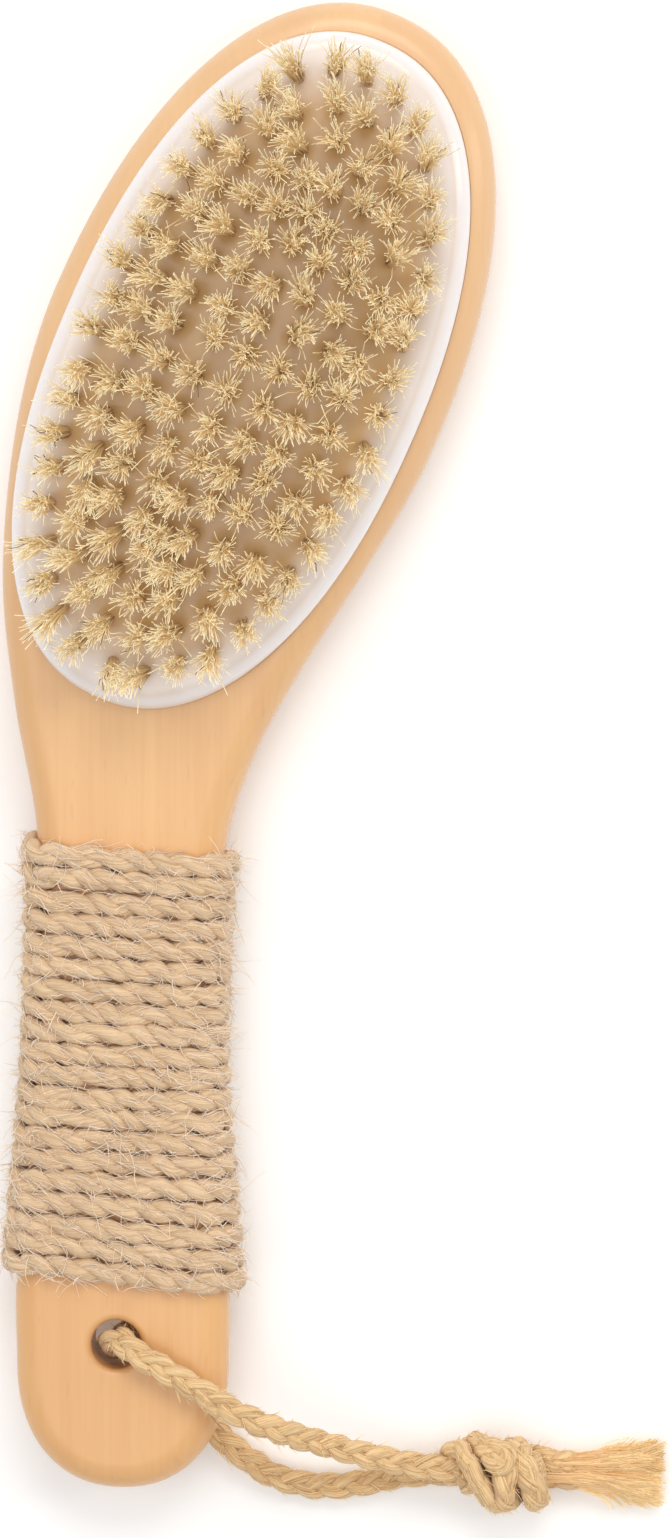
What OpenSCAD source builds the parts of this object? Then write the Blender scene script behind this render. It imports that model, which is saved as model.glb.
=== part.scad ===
// Body dry brush: a wooden head with an oval bristle pad, a grip wrapped in jute twine,
// and a plaited hanging cord knotted through the butt.
// It lies on its back with the bristles up. +Y runs from the butt to the crown, and the
// origin is the middle of the brush, without its cord, on the surface that it lies on.

/* [Head] */
// Width of the wooden head at its widest line
head_w = 69.2; // [58:0.5:84]
// Length from the widest line of the head to the crown
crown_len = 65; // [56:0.5:80]
// Length of the shoulders, from the neck to the widest line
shoulder_len = 79.5; // [70:0.5:95]
// Sideways step from the grip's line to the middle of the head
head_shift = 20.8; // [12:0.2:24]
// Lean of the head from the grip's line, in degrees
head_lean = 24; // [14:0.5:26]
// Thickness of the wooden head
head_t = 18; // [15:0.5:24]
// Radius of the rounded wooden edges
edge_r = 5; // [3:0.25:5.5]

/* [Handle] */
// Length from the neck to the widest line of the butt
handle_len = 90; // [82:0.5:120]
// Width of the neck
neck_w = 32; // [29:0.2:36]
// Width of the waist in the middle of the grip
waist_w = 29.8; // [26:0.2:34]
// Width of the butt
butt_w = 36.2; // [32:0.2:42]
// Length of the rounded end past the widest line of the butt
butt_len = 21.4; // [18:0.2:26]
// Diameter of the hanging hole
hole_d = 8.5; // [8:0.1:10]
// Distance from the widest line of the butt up to the hanging hole
hole_up = 4; // [2:0.2:6]
// Sideways offset of the hanging hole from the middle of the butt
hole_off = -0.8; // [-2:0.1:2]

/* [Bristle pad] */
// Wood left beside the pad at the widest line
side_rim = 3.6; // [3:0.1:6]
// Wood left between the pad and the crown
crown_rim = 5.2; // [4:0.2:9]
// Depth of the recess that the pad sits in
recess_d = 4; // [3:0.1:6]
// Clearance between the pad and the wall of its recess
pad_gap = 0.15; // [0.05:0.05:0.4]
// Thickness of the adhesive film under the pad
glue_t = 0.3; // [0.2:0.05:0.6]
// Height of the pad's shoulder above the wood
pad_proud = 5; // [3.5:0.1:7]
// Rise of the pad's dome above its shoulder
dome_rise = 3.6; // [2:0.1:6]
// Radius of the pad's rounded shoulder
pad_round = 3.2; // [2:0.1:3.4]

/* [Bristle tufts] */
// Distance between tufts along a ring
tuft_pitch = 6.1; // [5.6:0.1:8]
// Distance between one ring of tufts and the next
ring_step = 5.9; // [5.6:0.1:8]
// Distance from the edge of the pad to the outer ring of tufts
ring_inset = 7; // [5:0.1:9]
// Free length of a tuft above the pad
tuft_len = 13.5; // [8:0.5:22]
// Diameter of a tuft where it leaves the pad
tuft_d = 1.9; // [1.4:0.1:2.4]
// Diameter of a tuft at its spread tips
tip_d = 4.8; // [3:0.1:5.2]
// Depth of the blind hole that holds a tuft
socket_d = 4.5; // [3:0.1:6]
// Outward lean of the end tufts along the pad, in degrees
fan_long = 11; // [0:0.5:20]
// Outward lean of the side tufts across the pad, in degrees
fan_cross = 7; // [0:0.5:14]
// Sweep of all the tufts towards the left, in degrees
sweep = 2.5; // [0:0.5:5]

/* [Twine wrap] */
// Number of turns of twine
wrap_turns = 19.9; // [10:0.1:20]
// Distance from one turn to the next
wrap_pitch = 3.65; // [3.65:0.05:4]
// Width of the twine along the grip
twine_w = 3.6; // [2.6:0.05:3.6]
// Thickness of the twine as it lies on the wood
twine_t = 2.5; // [1.8:0.05:3.2]
// Distance from the neck to the middle of the first turn
wrap_down = 2.4; // [2:0.1:9]

/* [Hanging cord] */
// Diameter of the plaited cord
cord_d = 5.5; // [4.5:0.1:6]
// Length of the knot
knot_len = 18.4; // [15:0.2:22]
// Thickness of the knot
knot_d = 13.6; // [12:0.1:16]
// Length of the frayed tail past the knot
tail_len = 20.5; // [10:0.5:30]
// Thickness of the frayed end of the tail
fray_d = 11; // [7:0.1:12]

/* [Hidden] */
// Exponent of the ovals: 2 is an ellipse, and more is squarer
oval_n = 2.2;
// Points round the pad and its recess
oval_points = 72;
// Rows of the body in each rounded end, and between two of its stations
end_rows = 9;
rows_per_span = 3;
// Steps in the rounding of a wooden edge
edge_steps = 5;
// Pad: angle at which its shoulder meets its dome, steps in that shoulder, and rings of the dome
round_end = 75;
round_steps = 4;
dome_rings = [0.85, 0.65, 0.4, 0.15];
// Depth by which the twine beds into the wood, and its clearance above the surface
twine_bite = 0.15;
floor_gap = 0.1;
// Clearance of the cord above the surface and below the handle
cord_gap = 0.4;
// Stretch of the neck over which the back starts to rise
rise_above_neck = 30;
// Steel anchors: blade width, thickness and height, and the slack round a tuft and its anchor
anchor_w = 2.7;
anchor_t = 0.4;
anchor_h = 1.3;
tuft_slack = 0.03;
// Straight length of a tuft above the pad before it spreads
tuft_neck = 1;
// Samples used to space tufts evenly round a ring
ring_samples = 120;
// Twine: rings of its tube in each corner of a turn, and sides of the tube
corner_rings = 4;
twine_sides = 8;
// Sides of the cord's tube
cord_sides = 10;
// Cord routes, from the middle of the hole: sideways and lengthways from its axis, then height
front_route = [
    [0.8, 0.9, 12], [0.8, 0.9, 14], [0.8, 0.9, 16], [1.2, 0.7, 18.4], [2.8, -0.2, 20.6],
    [5.2, -1.6, 21.4], [9.4, -4, 21.3], [14.6, -7.2, 21.2], [18.4, -9.6, 21.1], [22.8, -12, 20.3],
    [26.8, -14, 18.3], [31, -16, 15.4], [37, -18.4, 11.9], [43, -20.4, 9.6], [48, -21.6, 8.8],
    [53, -22.4, 8.6], [59, -22.8, 8.6]
];
rear_route = [
    [0.8, 0.9, 12], [0.8, 0.9, 10], [0.8, 0.9, 8], [1.1, 0.4, 5.6], [2.4, -1.4, 3.6],
    [4.6, -4.2, 3], [8, -8.4, 2.9], [12, -13.2, 2.9], [16, -17.6, 2.9], [20.4, -21.6, 2.9],
    [25.4, -25, 2.9], [31, -26.8, 2.9], [37, -27, 2.9], [43, -26.2, 2.9], [48, -25.2, 2.9],
    [53, -24.6, 3], [59, -24.4, 3.2]
];
// Middle of the knot, from the hole, and the length of the tail inside it
knot_at = [65.4, -23.6];
tail_bite = 2.5;

// Small helpers: blend, limit, ease and the curve of the ovals
function mix(a, b, t) = a + (b - a) * t;
function clamp01(t) = min(max(t, 0), 1);
function smooth(t) = let(c = clamp01(t)) c * c * (3 - 2 * c);
function power_sin(q) = pow(max(sin(q), 0), 2 / oval_n);

// A station of the body: middle of its width, turn of its crosswise line, and half width
function station(y, shift, lean, half) = [shift * head_shift, y, lean * head_lean, half];
function on_handle(t, shift, lean, half) = station(-handle_len * t, shift, lean, half);
function on_shoulder(t, shift, lean, widening) =
    station(shoulder_len * t, shift, lean, mix(neck_w, head_w, widening) / 2);

stations = [
    on_handle(1.2, 0, 0, butt_w / 2),
    on_handle(1, 0, 0, butt_w / 2),
    on_handle(0.83, 0, 0.04, butt_w / 2),
    on_handle(0.52, 0.01, 0.06, mix(waist_w, butt_w, 0.26) / 2),
    on_handle(0.3, 0.03, 0.09, waist_w / 2),
    on_handle(0, 0.08, 0.22, neck_w / 2),
    on_shoulder(0.24, 0.11, 0.54, 0.26),
    on_shoulder(0.47, 0.25, 0.8, 0.57),
    on_shoulder(0.75, 0.6, 0.95, 0.87),
    on_shoulder(1, 1, 1, 1),
    on_shoulder(1.25, 1.42, 1, 0.87)
];

// Smooth curve through four neighbouring stations
function between(a, b, c, d, t) =
    b + ((c - a) * t + (2 * a - 5 * b + 4 * c - d) * t * t + (3 * b - a - 3 * c + d) * t * t * t) / 2;

butt_rows = [
    for (i = [0:end_rows - 1])
        let(q = 90 * i / end_rows)
        [0, -handle_len - butt_len * power_sin(90 - q), 0, butt_w / 2 * power_sin(q)]
];
span_rows = [
    for (s = [1:len(stations) - 3], k = [0:rows_per_span - 1])
        between(stations[s - 1], stations[s], stations[s + 1], stations[s + 2], k / rows_per_span)
];
crown_rows = [
    for (i = [0:end_rows])
        let(q = 90 * i / end_rows, t = crown_len * power_sin(q))
        [
            head_shift + t * sin(head_lean), shoulder_len + t * cos(head_lean),
            head_lean, head_w / 2 * power_sin(90 - q)
        ]
];
rough_rows = concat(butt_rows, span_rows, crown_rows);

// The rows are moved so that the middle of the outline is at the origin
function side_point(r, side) = [r[0] + side * r[3] * cos(r[2]), r[1] - side * r[3] * sin(r[2])];
rough_edge = [for (side = [-1, 1], r = rough_rows) side_point(r, side)];
mid_x = (min([for (p = rough_edge) p[0]]) + max([for (p = rough_edge) p[0]])) / 2;
mid_y = (min([for (p = rough_edge) p[1]]) + max([for (p = rough_edge) p[1]])) / 2;
rows = [for (r = rough_rows) [r[0] - mid_x, r[1] - mid_y, r[2], r[3]]];
neck_y = -mid_y;
head_at = [head_shift - mid_x, shoulder_len - mid_y];
hole_at = [hole_off - mid_x, -handle_len + hole_up - mid_y];

// Height of the back: flat under the head, then rising to clear the twine and the cord
twine_lift = twine_t - twine_bite + floor_gap;
butt_lift = cord_d + 2 * cord_gap;
function back_z(y) =
    twine_lift * smooth((neck_y + rise_above_neck - y) / (rise_above_neck + wrap_down - twine_w))
    + (butt_lift - twine_lift) * smooth((neck_y - wrap_down - y) / (handle_len - wrap_down));

// Width and middle of the handle at a place along it
function half_at(y) = lookup(y, [for (r = rows) [r[1], r[3]]]);
function middle_at(y) = lookup(y, [for (r = rows) [r[1], r[0]]]);

// Outline of the body: up its right side, then down its left
last_row = len(rows) - 1;
edge_count = 2 * last_row;
function row_of(i) = i <= last_row ? i : edge_count - i;
edge = [for (i = [0:edge_count - 1]) side_point(rows[row_of(i)], i <= last_row ? 1 : -1)];
function unit(v) = v / norm(v);
function edge_out(i) =
    let(t = unit(edge[(i + 1) % edge_count] - edge[(i + edge_count - 1) % edge_count]))
    [t[1], -t[0]];

// Layers of the body's wall, from the back to the front: inset, rise above the back, drop from the front
back_layers = [for (k = [0:edge_steps]) let(q = 90 * k / edge_steps) [edge_r * (1 - sin(q)), edge_r * (1 - cos(q))]];
layers = concat(
    [for (l = back_layers) [l[0], l[1], -1]],
    [for (k = [edge_steps:-1:0]) [back_layers[k][0], -1, back_layers[k][1]]]
);
function layer_point(l, i) =
    let(p = edge[i] - l[0] * edge_out(i))
    [p[0], p[1], l[2] < 0 ? back_z(rows[row_of(i)][1]) + l[1] : head_t - l[2]];

// Faces of a stack of closed rings, each a list of the same number of points
function band_faces(ring_count, n) = [
    for (k = [0:ring_count - 2], i = [0:n - 1], half = [0, 1])
        let(j = (i + 1) % n, a = k * n + i, b = k * n + j)
        half == 0 ? [a, a + n, b] : [b, a + n, b + n]
];
// Faces that close a ring by joining its two sides, row by row
function ladder_faces(start, up) = [
    for (i = [0:last_row - 1], half = [0, 1])
        let(a = start + i, b = start + i + 1, c = start + (edge_count - i - 1) % edge_count,
            d = start + (edge_count - i) % edge_count,
            face = half == 0 ? [a, b, c] : [a, c, d])
        if (face[0] != face[1] && face[1] != face[2] && face[0] != face[2])
            up ? [face[0], face[2], face[1]] : face
];

module body_blank() {
    points = [for (l = layers, i = [0:edge_count - 1]) layer_point(l, i)];
    faces = concat(
        band_faces(len(layers), edge_count),
        ladder_faces(0, false),
        ladder_faces((len(layers) - 1) * edge_count, true)
    );
    polyhedron(points = points, faces = faces, convexity = 4);
}

// Ovals of the pad and the rings of tufts
pad_half_w = head_w / 2 - side_rim;
pad_half_l = crown_len - crown_rim;
function signed_power(v) = sign(v) * pow(abs(v), 2 / oval_n);
function oval(half_w, half_l) = [
    for (i = [0:oval_points - 1])
        let(q = 360 * i / oval_points)
        [half_w * signed_power(cos(q)), half_l * signed_power(sin(q))]
];
module on_head() {
    translate([head_at[0], head_at[1], 0])
        rotate(-head_lean)
            children();
}

module brush_body() {
    color("burlywood")
        difference() {
            body_blank();
            on_head()
                translate([0, 0, head_t - recess_d])
                    linear_extrude(recess_d + edge_r)
                        polygon(oval(pad_half_w, pad_half_l));
            translate([hole_at[0], hole_at[1], -edge_r])
                cylinder(d = hole_d, h = head_t + 2 * edge_r, $fn = 48);
        }
}

module pad_adhesive() {
    color("beige")
        on_head()
            translate([0, 0, head_t - recess_d])
                linear_extrude(glue_t)
                    polygon(oval(pad_half_w - 2 * pad_gap, pad_half_l - 2 * pad_gap));
}

// Pad: a straight wall, a rounded shoulder and a dome, as rings of the same oval
pad_base_z = head_t - recess_d + glue_t;
shoulder_z = head_t + pad_proud;
function round_inset(q) = pad_gap + pad_round * (1 - cos(q));
function round_z(q) = shoulder_z - pad_round * (1 - sin(q));
dome_inset = round_inset(round_end);
function dome_z(f) = round_z(round_end) + dome_rise * (1 - f * f);
pad_levels = concat(
    [[pad_gap, 1, pad_base_z]],
    [for (q = [0:round_end / round_steps:round_end]) [round_inset(q), 1, round_z(q)]],
    [for (f = dome_rings) [dome_inset, f, dome_z(f)]]
);
function pad_ring(level) = [
    for (p = oval(pad_half_w - level[0], pad_half_l - level[0])) [p[0] * level[1], p[1] * level[1], level[2]]
];
// Share of the way from the middle of the pad to the edge of its dome
function dome_share(p) =
    pow(pow(abs(p[0]) / (pad_half_w - dome_inset), oval_n) + pow(abs(p[1]) / (pad_half_l - dome_inset), oval_n), 1 / oval_n);

module pad_blank() {
    rings = [for (level = pad_levels) pad_ring(level)];
    top = len(pad_levels) * oval_points;
    points = concat([for (r = rings, p = r) p], [[0, 0, dome_z(0)]]);
    faces = concat(
        band_faces(len(pad_levels), oval_points),
        [[for (i = [0:oval_points - 1]) i]],
        [for (i = [0:oval_points - 1]) [top - oval_points + i, top, top - oval_points + (i + 1) % oval_points]]
    );
    polyhedron(points = points, faces = faces, convexity = 4);
}

// Tufts: rings inside the pad's oval, spaced evenly along their length, and a line down the middle
ring_half_w = pad_half_w - ring_inset;
ring_half_l = pad_half_l - ring_inset;
oval_rings = floor(ring_half_w / ring_step);
function ring_point(k, q) = [
    (ring_half_w - k * ring_step) * signed_power(sin(q)), (ring_half_l - k * ring_step) * signed_power(cos(q))
];
function ring_lengths(k, i = 0, sum = 0, out = []) =
    i > ring_samples ? out :
    let(q = 360 * i / ring_samples, step = i == 0 ? 0 : norm(ring_point(k, q) - ring_point(k, q - 360 / ring_samples)))
    ring_lengths(k, i + 1, sum + step, concat(out, [[sum + step, q]]));
function oval_ring(k) =
    let(table = ring_lengths(k), total = table[ring_samples][0], n = round(total / tuft_pitch))
    [for (i = [0:n - 1]) ring_point(k, lookup(total * (i + 0.5 * (k % 2)) / n, table))];
function middle_line() =
    let(reach = ring_half_l - oval_rings * ring_step, n = floor(2 * reach / tuft_pitch))
    [for (i = [0:n]) [0, reach * (2 * i / n - 1)]];
// Tufts of one ring on one side: 0 for the left, 1 for the right, and 2 for both
function ring_tufts(k, side) = [
    for (p = k < oval_rings ? oval_ring(k) : middle_line())
        if (side == 2 || (side == 1) == (p[0] > -tuft_slack)) p
];

// Places its children with +Z along a tuft, at the point where the tuft leaves the pad
module at_tufts(k, side) {
    on_head()
        for (p = ring_tufts(k, side))
            translate([p[0], p[1], dome_z(dome_share(p))])
                rotate([-fan_long * p[1] / ring_half_l, fan_cross * p[0] / ring_half_w - sweep, 0])
                    children();
}

module bristle_pad() {
    color("whitesmoke")
        difference() {
            on_head()
                pad_blank();
            for (k = [0:oval_rings])
                at_tufts(k, 2)
                    translate([0, 0, -socket_d])
                        cylinder(d = tuft_d + 2 * tuft_slack, h = 2 * socket_d, $fn = 24);
        }
}

module tuft() {
    difference() {
        union() {
            translate([0, 0, -socket_d])
                cylinder(d = tuft_d, h = socket_d + tuft_neck, $fn = 24);
            translate([0, 0, tuft_neck])
                cylinder(d1 = tuft_d, d2 = tip_d, h = tuft_len - tuft_neck, $fn = 24);
        }
        translate([0, 0, -socket_d + anchor_h / 2])
            cube([tip_d, anchor_t + 2 * tuft_slack, anchor_h + tuft_slack], center = true);
    }
}

module anchor() {
    translate([0, 0, -socket_d + anchor_h / 2])
        cube([anchor_w, anchor_t, anchor_h - tuft_slack], center = true);
}

module tufts_ring(k, side) {
    color("khaki")
        at_tufts(k, side)
            tuft();
}

module anchors_ring(k, side) {
    color("silver")
        at_tufts(k, side)
            anchor();
}

// Rings of a tube: each a middle, and two half-width directions across the tube
function tube_ring(at, u, v, sides) = [
    for (i = [0:sides - 1]) let(q = 360 * i / sides) at + u * cos(q) + v * sin(q)
];
module tube(rings, sides) {
    n = len(rings);
    polyhedron(
        points = [for (r = rings, p = r) p],
        faces = concat(
            band_faces(n, sides),
            [[for (i = [0:sides - 1]) i]],
            [[for (i = [sides - 1:-1:0]) (n - 1) * sides + i]]
        ),
        convexity = 10
    );
}

// Twine: it starts under the left side, and each turn follows the rounded section of the handle
turn_rings = 4 * corner_rings;
first_ring = 3 * corner_rings;
twine_out = twine_t / 2 - twine_bite;
wrap_start_y = neck_y - wrap_down;
function corner_arc() = (edge_r + twine_out) * PI / 2;
// Share of a turn done at ring j, by its length along the section
function turn_share(j, flat_w, flat_t) =
    let(c = floor(j / corner_rings), k = j % corner_rings,
        done = (c + k / (corner_rings - 1)) * corner_arc() + ceil(c / 2) * flat_w + floor(c / 2) * flat_t)
    done / (4 * corner_arc() + 2 * flat_w + 2 * flat_t);
function twine_ring(i) =
    let(
        turn = floor(i / turn_rings), j = i % turn_rings,
        c = floor(j / corner_rings), q = 180 - 90 * c - 90 * (j % corner_rings) / (corner_rings - 1),
        y0 = wrap_start_y - (turn - 1) * wrap_pitch,
        y = y0 - wrap_pitch * turn_share(j, 2 * (half_at(y0) - edge_r), head_t - back_z(y0) - 2 * edge_r),
        side = c == 0 || c == 3 ? -1 : 1,
        corner_z = c < 2 ? head_t - edge_r : back_z(y) + edge_r,
        out = [cos(q), 0, sin(q)],
        at = [middle_at(y) + side * (half_at(y) - edge_r), y, corner_z] + (edge_r + twine_out) * out
    )
    tube_ring(at, out * twine_t / 2, [0, -twine_w / 2, 0], twine_sides);

module jute_wrap() {
    color("tan")
        tube([for (i = [0:round(wrap_turns * turn_rings)]) twine_ring(first_ring + i)], twine_sides);
}

// Cord: a round tube swept along its route, its first ring lying flat
function cord_tangent(route, i) = unit(route[min(i + 1, len(route) - 1)] - route[max(i - 1, 0)]);
function across(t, u) = unit(u - t * (u * t));
function cord_rings(route, i = 0, u = [0, 1, 0], out = []) =
    i == len(route) ? out :
    let(t = cord_tangent(route, i), v = across(t, u),
        at = route[i] + [hole_at[0], hole_at[1], 0])
    cord_rings(route, i + 1, v, concat(out, [tube_ring(at, v * cord_d / 2, cross(t, v) * cord_d / 2, cord_sides)]));

module hang_cord_front() {
    color("wheat")
        tube(cord_rings(front_route), cord_sides);
}

module hang_cord_rear() {
    color("wheat")
        tube(cord_rings(rear_route), cord_sides);
}

module at_knot() {
    translate([hole_at[0] + knot_at[0], hole_at[1] + knot_at[1], knot_d / 2 + floor_gap])
        rotate([0, 90, 0])
            children();
}

// Knot: a barrel turned about the line of the cord
module cord_knot() {
    bulge = 0.75 * knot_len;
    color("wheat")
        at_knot()
            rotate_extrude($fn = 48)
                intersection() {
                    translate([0, -knot_len / 2])
                        square([knot_d / 2, knot_len]);
                    translate([knot_d / 2 - bulge, 0])
                        circle(r = bulge, $fn = 96);
                }
}

// Tail: the two cord ends side by side, frayed into one brush that lies on the surface
module cord_tail() {
    tail_lean = atan2((fray_d - cord_d) / 2, tail_len);
    color("wheat")
        translate([
            hole_at[0] + knot_at[0] + knot_len / 2 - tail_bite,
            hole_at[1] + knot_at[1],
            cord_d / 2 + cord_gap
        ])
            rotate([0, 90 - tail_lean, 0])
                cylinder(d1 = cord_d, d2 = fray_d, h = tail_len, $fn = 32);
}

brush_body();
pad_adhesive();
bristle_pad();
tufts_ring(0, 0);  // tufts_ring_1_left
tufts_ring(0, 1);  // tufts_ring_1_right
tufts_ring(1, 0);  // tufts_ring_2_left
tufts_ring(1, 1);  // tufts_ring_2_right
tufts_ring(2, 0);  // tufts_ring_3_left
tufts_ring(2, 1);  // tufts_ring_3_right
tufts_ring(3, 0);  // tufts_ring_4_left
tufts_ring(3, 1);  // tufts_ring_4_right
tufts_ring(oval_rings, 2);  // tufts_middle
anchors_ring(0, 0);  // anchors_ring_1_left
anchors_ring(0, 1);  // anchors_ring_1_right
anchors_ring(1, 0);  // anchors_ring_2_left
anchors_ring(1, 1);  // anchors_ring_2_right
anchors_ring(2, 0);  // anchors_ring_3_left
anchors_ring(2, 1);  // anchors_ring_3_right
anchors_ring(3, 0);  // anchors_ring_4_left
anchors_ring(3, 1);  // anchors_ring_4_right
anchors_ring(oval_rings, 2);  // anchors_middle
jute_wrap();
hang_cord_front();
hang_cord_rear();
cord_knot();
cord_tail();
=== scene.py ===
import math
from functools import reduce

import bpy
import numpy as np
from bpy.props import FloatProperty, FloatVectorProperty, IntProperty, PointerProperty
from mathutils import Matrix, Vector


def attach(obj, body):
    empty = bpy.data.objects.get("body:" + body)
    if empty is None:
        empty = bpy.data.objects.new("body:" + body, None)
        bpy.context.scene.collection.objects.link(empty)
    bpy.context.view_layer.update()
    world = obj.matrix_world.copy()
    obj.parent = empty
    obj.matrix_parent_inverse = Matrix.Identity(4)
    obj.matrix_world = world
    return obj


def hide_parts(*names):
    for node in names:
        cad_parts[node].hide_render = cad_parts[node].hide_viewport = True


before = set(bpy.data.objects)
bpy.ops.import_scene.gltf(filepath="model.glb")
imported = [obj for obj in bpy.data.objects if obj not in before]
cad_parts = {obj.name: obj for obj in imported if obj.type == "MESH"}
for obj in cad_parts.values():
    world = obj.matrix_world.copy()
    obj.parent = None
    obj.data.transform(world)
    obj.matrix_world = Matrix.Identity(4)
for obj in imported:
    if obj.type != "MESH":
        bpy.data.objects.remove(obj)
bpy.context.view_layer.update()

bl_info = {
    "name": "Body Dry Brush",
    "version": (1, 0, 0),
    "blender": (4, 5, 0),
    "location": "View3D > Sidebar > Dry Brush",
    "description": "Builds a wooden body brush with bristle tufts, a twine grip and a plaited hanging cord",
    "category": "Object",
}

MM = 0.001


def linear(r, g, b):
    """A display colour, 0 to 255, as the linear colour that shaders take."""
    return tuple(((v / 255 + 0.055) / 1.055) ** 2.4 if v > 10 else v / 3295 for v in (r, g, b))


def length(name, millimetres, description):
    return FloatProperty(
        name=name, description=description, default=millimetres * MM, unit="LENGTH", precision=5,
    )


def angle(name, degrees, description):
    return FloatProperty(name=name, description=description, default=math.radians(degrees), subtype="ANGLE")


def colour(name, display, description):
    return FloatVectorProperty(
        name=name, description=description, default=linear(*display), subtype="COLOR", min=0, max=1,
    )


# ---------------------------------------------------------------- sizes and colours


class WoodSizes(bpy.types.PropertyGroup):
    head_w: length("Head width", 69.2, "Width of the head at its widest line")
    crown_len: length("Crown", 65, "Length from the widest line of the head to the crown")
    shoulder_len: length("Shoulders", 79.5, "Length from the neck to the widest line of the head")
    head_shift: length("Head shift", 20.8, "Sideways step from the grip's line to the middle of the head")
    head_lean: angle("Head lean", 24, "Lean of the head from the grip's line")
    head_t: length("Thickness", 18, "Thickness of the head")
    edge_r: length("Edge radius", 5, "Radius of the rounded wooden edges")
    handle_len: length("Handle", 90, "Length from the neck to the widest line of the butt")
    neck_w: length("Neck width", 32, "Width of the neck")
    waist_w: length("Waist width", 29.8, "Width of the waist in the middle of the grip")
    butt_w: length("Butt width", 36.2, "Width of the butt")
    butt_len: length("Butt end", 21.4, "Length of the rounded end past the widest line of the butt")
    hole_d: length("Hole diameter", 8.5, "Diameter of the hanging hole")
    hole_up: length("Hole height", 4, "Distance from the widest line of the butt up to the hanging hole")
    hole_off: length("Hole offset", -0.8, "Sideways offset of the hanging hole from the middle of the butt")
    hole_round: length("Hole rounding", 1.3, "Radius of the sanded mouth of the hanging hole")
    lip_round: length("Recess lip", 0.3, "Radius of the sanded lip of the recess")


class PadSizes(bpy.types.PropertyGroup):
    side_rim: length("Side rim", 3.6, "Wood left beside the pad at the widest line")
    crown_rim: length("Crown rim", 5.2, "Wood left between the pad and the crown")
    recess_d: length("Recess depth", 4, "Depth of the recess that the pad sits in")
    gap: length("Clearance", 0.15, "Clearance between the pad and the wall of its recess")
    glue_t: length("Adhesive", 0.3, "Thickness of the adhesive film under the pad")
    proud: length("Height", 5, "Height of the pad's shoulder above the wood")
    dome_rise: length("Dome rise", 3.6, "Rise of the pad's dome above its shoulder")
    rounding: length("Rounding", 3.2, "Radius of the pad's rounded shoulder")
    dimple: length("Dimple depth", 0.35, "Depth of the dimple that each tuft pulls into the pad")


class TuftSizes(bpy.types.PropertyGroup):
    pitch: length("Pitch", 6.1, "Distance between tufts along a ring")
    ring_step: length("Ring step", 5.9, "Distance between one ring of tufts and the next")
    ring_inset: length("Ring inset", 7, "Distance from the edge of the pad to the outer ring")
    reach: length("Free length", 13.5, "Length of a tuft above the pad")
    root_d: length("Root diameter", 2.0, "Diameter of a tuft where it leaves the pad")
    tip_d: length("Tip diameter", 5.2, "Diameter of a tuft at its spread tips")
    fan_long: angle("Fan along", 11, "Outward lean of the end tufts along the pad")
    fan_cross: angle("Fan across", 7, "Outward lean of the side tufts across the pad")
    sweep: angle("Sweep", 2.5, "Sweep of all the tufts towards the left")
    bristles: IntProperty(name="Bristles", description="Bristles in one tuft", default=90, min=6, max=90)
    thickness: length("Bristle thickness", 0.17, "Diameter of one bristle at its root")


class TwineSizes(bpy.types.PropertyGroup):
    turns: FloatProperty(
        name="Turns", description="Turns of twine round the grip", default=19.9, min=10, max=20,
    )
    pitch: length("Pitch", 3.65, "Distance from one turn to the next")
    width: length("Width", 3.6, "Width of the twine along the grip")
    thickness: length("Thickness", 2.5, "Thickness of the twine as it lies on the wood")
    down: length("Start", 2.4, "Distance from the neck to the first turn")
    lay: length("Twist length", 10.5, "Length of twine in which its two plies go round each other once")


class CordSizes(bpy.types.PropertyGroup):
    diameter: length("Diameter", 5.5, "Diameter of the plaited cord")
    wave: length("Plait length", 13.5, "Length in which a strand of the plait crosses over and back")
    front_length: length("Front length", 79, "Length of the front strand, from the hole to the knot")
    rear_length: length("Rear length", 80, "Length of the rear strand, from the hole to the knot")
    knot_len: length("Knot length", 18.4, "Length of the knot")
    knot_d: length("Knot thickness", 13.6, "Thickness of the knot")
    tail_len: length("Tail length", 20.5, "Length of the frayed tail past the knot")
    fray_d: length("Frayed end", 11, "Width of the frayed end of the tail")


class Finishes(bpy.types.PropertyGroup):
    wood: colour("Wood", (234, 184, 124), "Sanded pale wood")
    wood_pale: colour("Pale wood", (232, 195, 154), "Paler wood towards the crown")
    wood_dark: colour("Wood grain", (217, 161, 106), "Darker lines in the wood's grain")
    pad_edge: colour("Pad edge", (240, 233, 231), "Milky wall and shoulder of the pad")
    # Pad middle: painted shade among the tufts, and the brown of roots and wood seen through the milky cushion.
    pad_middle: colour("Pad middle", (203, 169, 121), "Pad among the tufts")
    bristle_root: colour("Bristle root", (170, 130, 82), "Bristles where they leave the pad")
    bristle: colour("Bristle", (235, 210, 160), "Bristles along their length")
    bristle_tip: colour("Bristle tip", (253, 244, 213), "Cut and flagged tips of the bristles")
    bristle_dark: colour("Dark bristle", (84, 54, 34), "The few dark bristles in each tuft")
    jute: colour("Jute", (237, 207, 169), "Light fibres of the twine")
    # Jute gaps: the colour of darker fibres and of painted shade between fibres and plies.
    jute_dark_and_shade: colour("Jute gaps", (176, 138, 98), "Twine between its fibres and plies")
    cord: colour("Cord", (250, 214, 160), "Light fibres of the plaited cord")
    frayed: colour("Frayed fibre", (255, 230, 176), "Loose fibres of the cord's frayed ends")
    # Cord gaps: the colour of darker fibres and of painted shade between fibres and strands; the tail also uses it
    # for its brown fibres.
    cord_dark: colour("Cord gaps", (150, 98, 52), "Plaited cord between its fibres and strands")


# ---------------------------------------------------------------- shape of the brush

OVAL = 2.2
OVAL_POWER = 2 / OVAL
FLOOR_GAP = 0.1 * MM
TWINE_BITE = 0.15 * MM
CORD_GAP = 0.4 * MM
RISE_ABOVE_NECK = 30 * MM


def mix(a, b, t):
    return a + (b - a) * t


def smooth(t):
    c = np.clip(t, 0, 1)
    return c * c * (3 - 2 * c)


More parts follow.
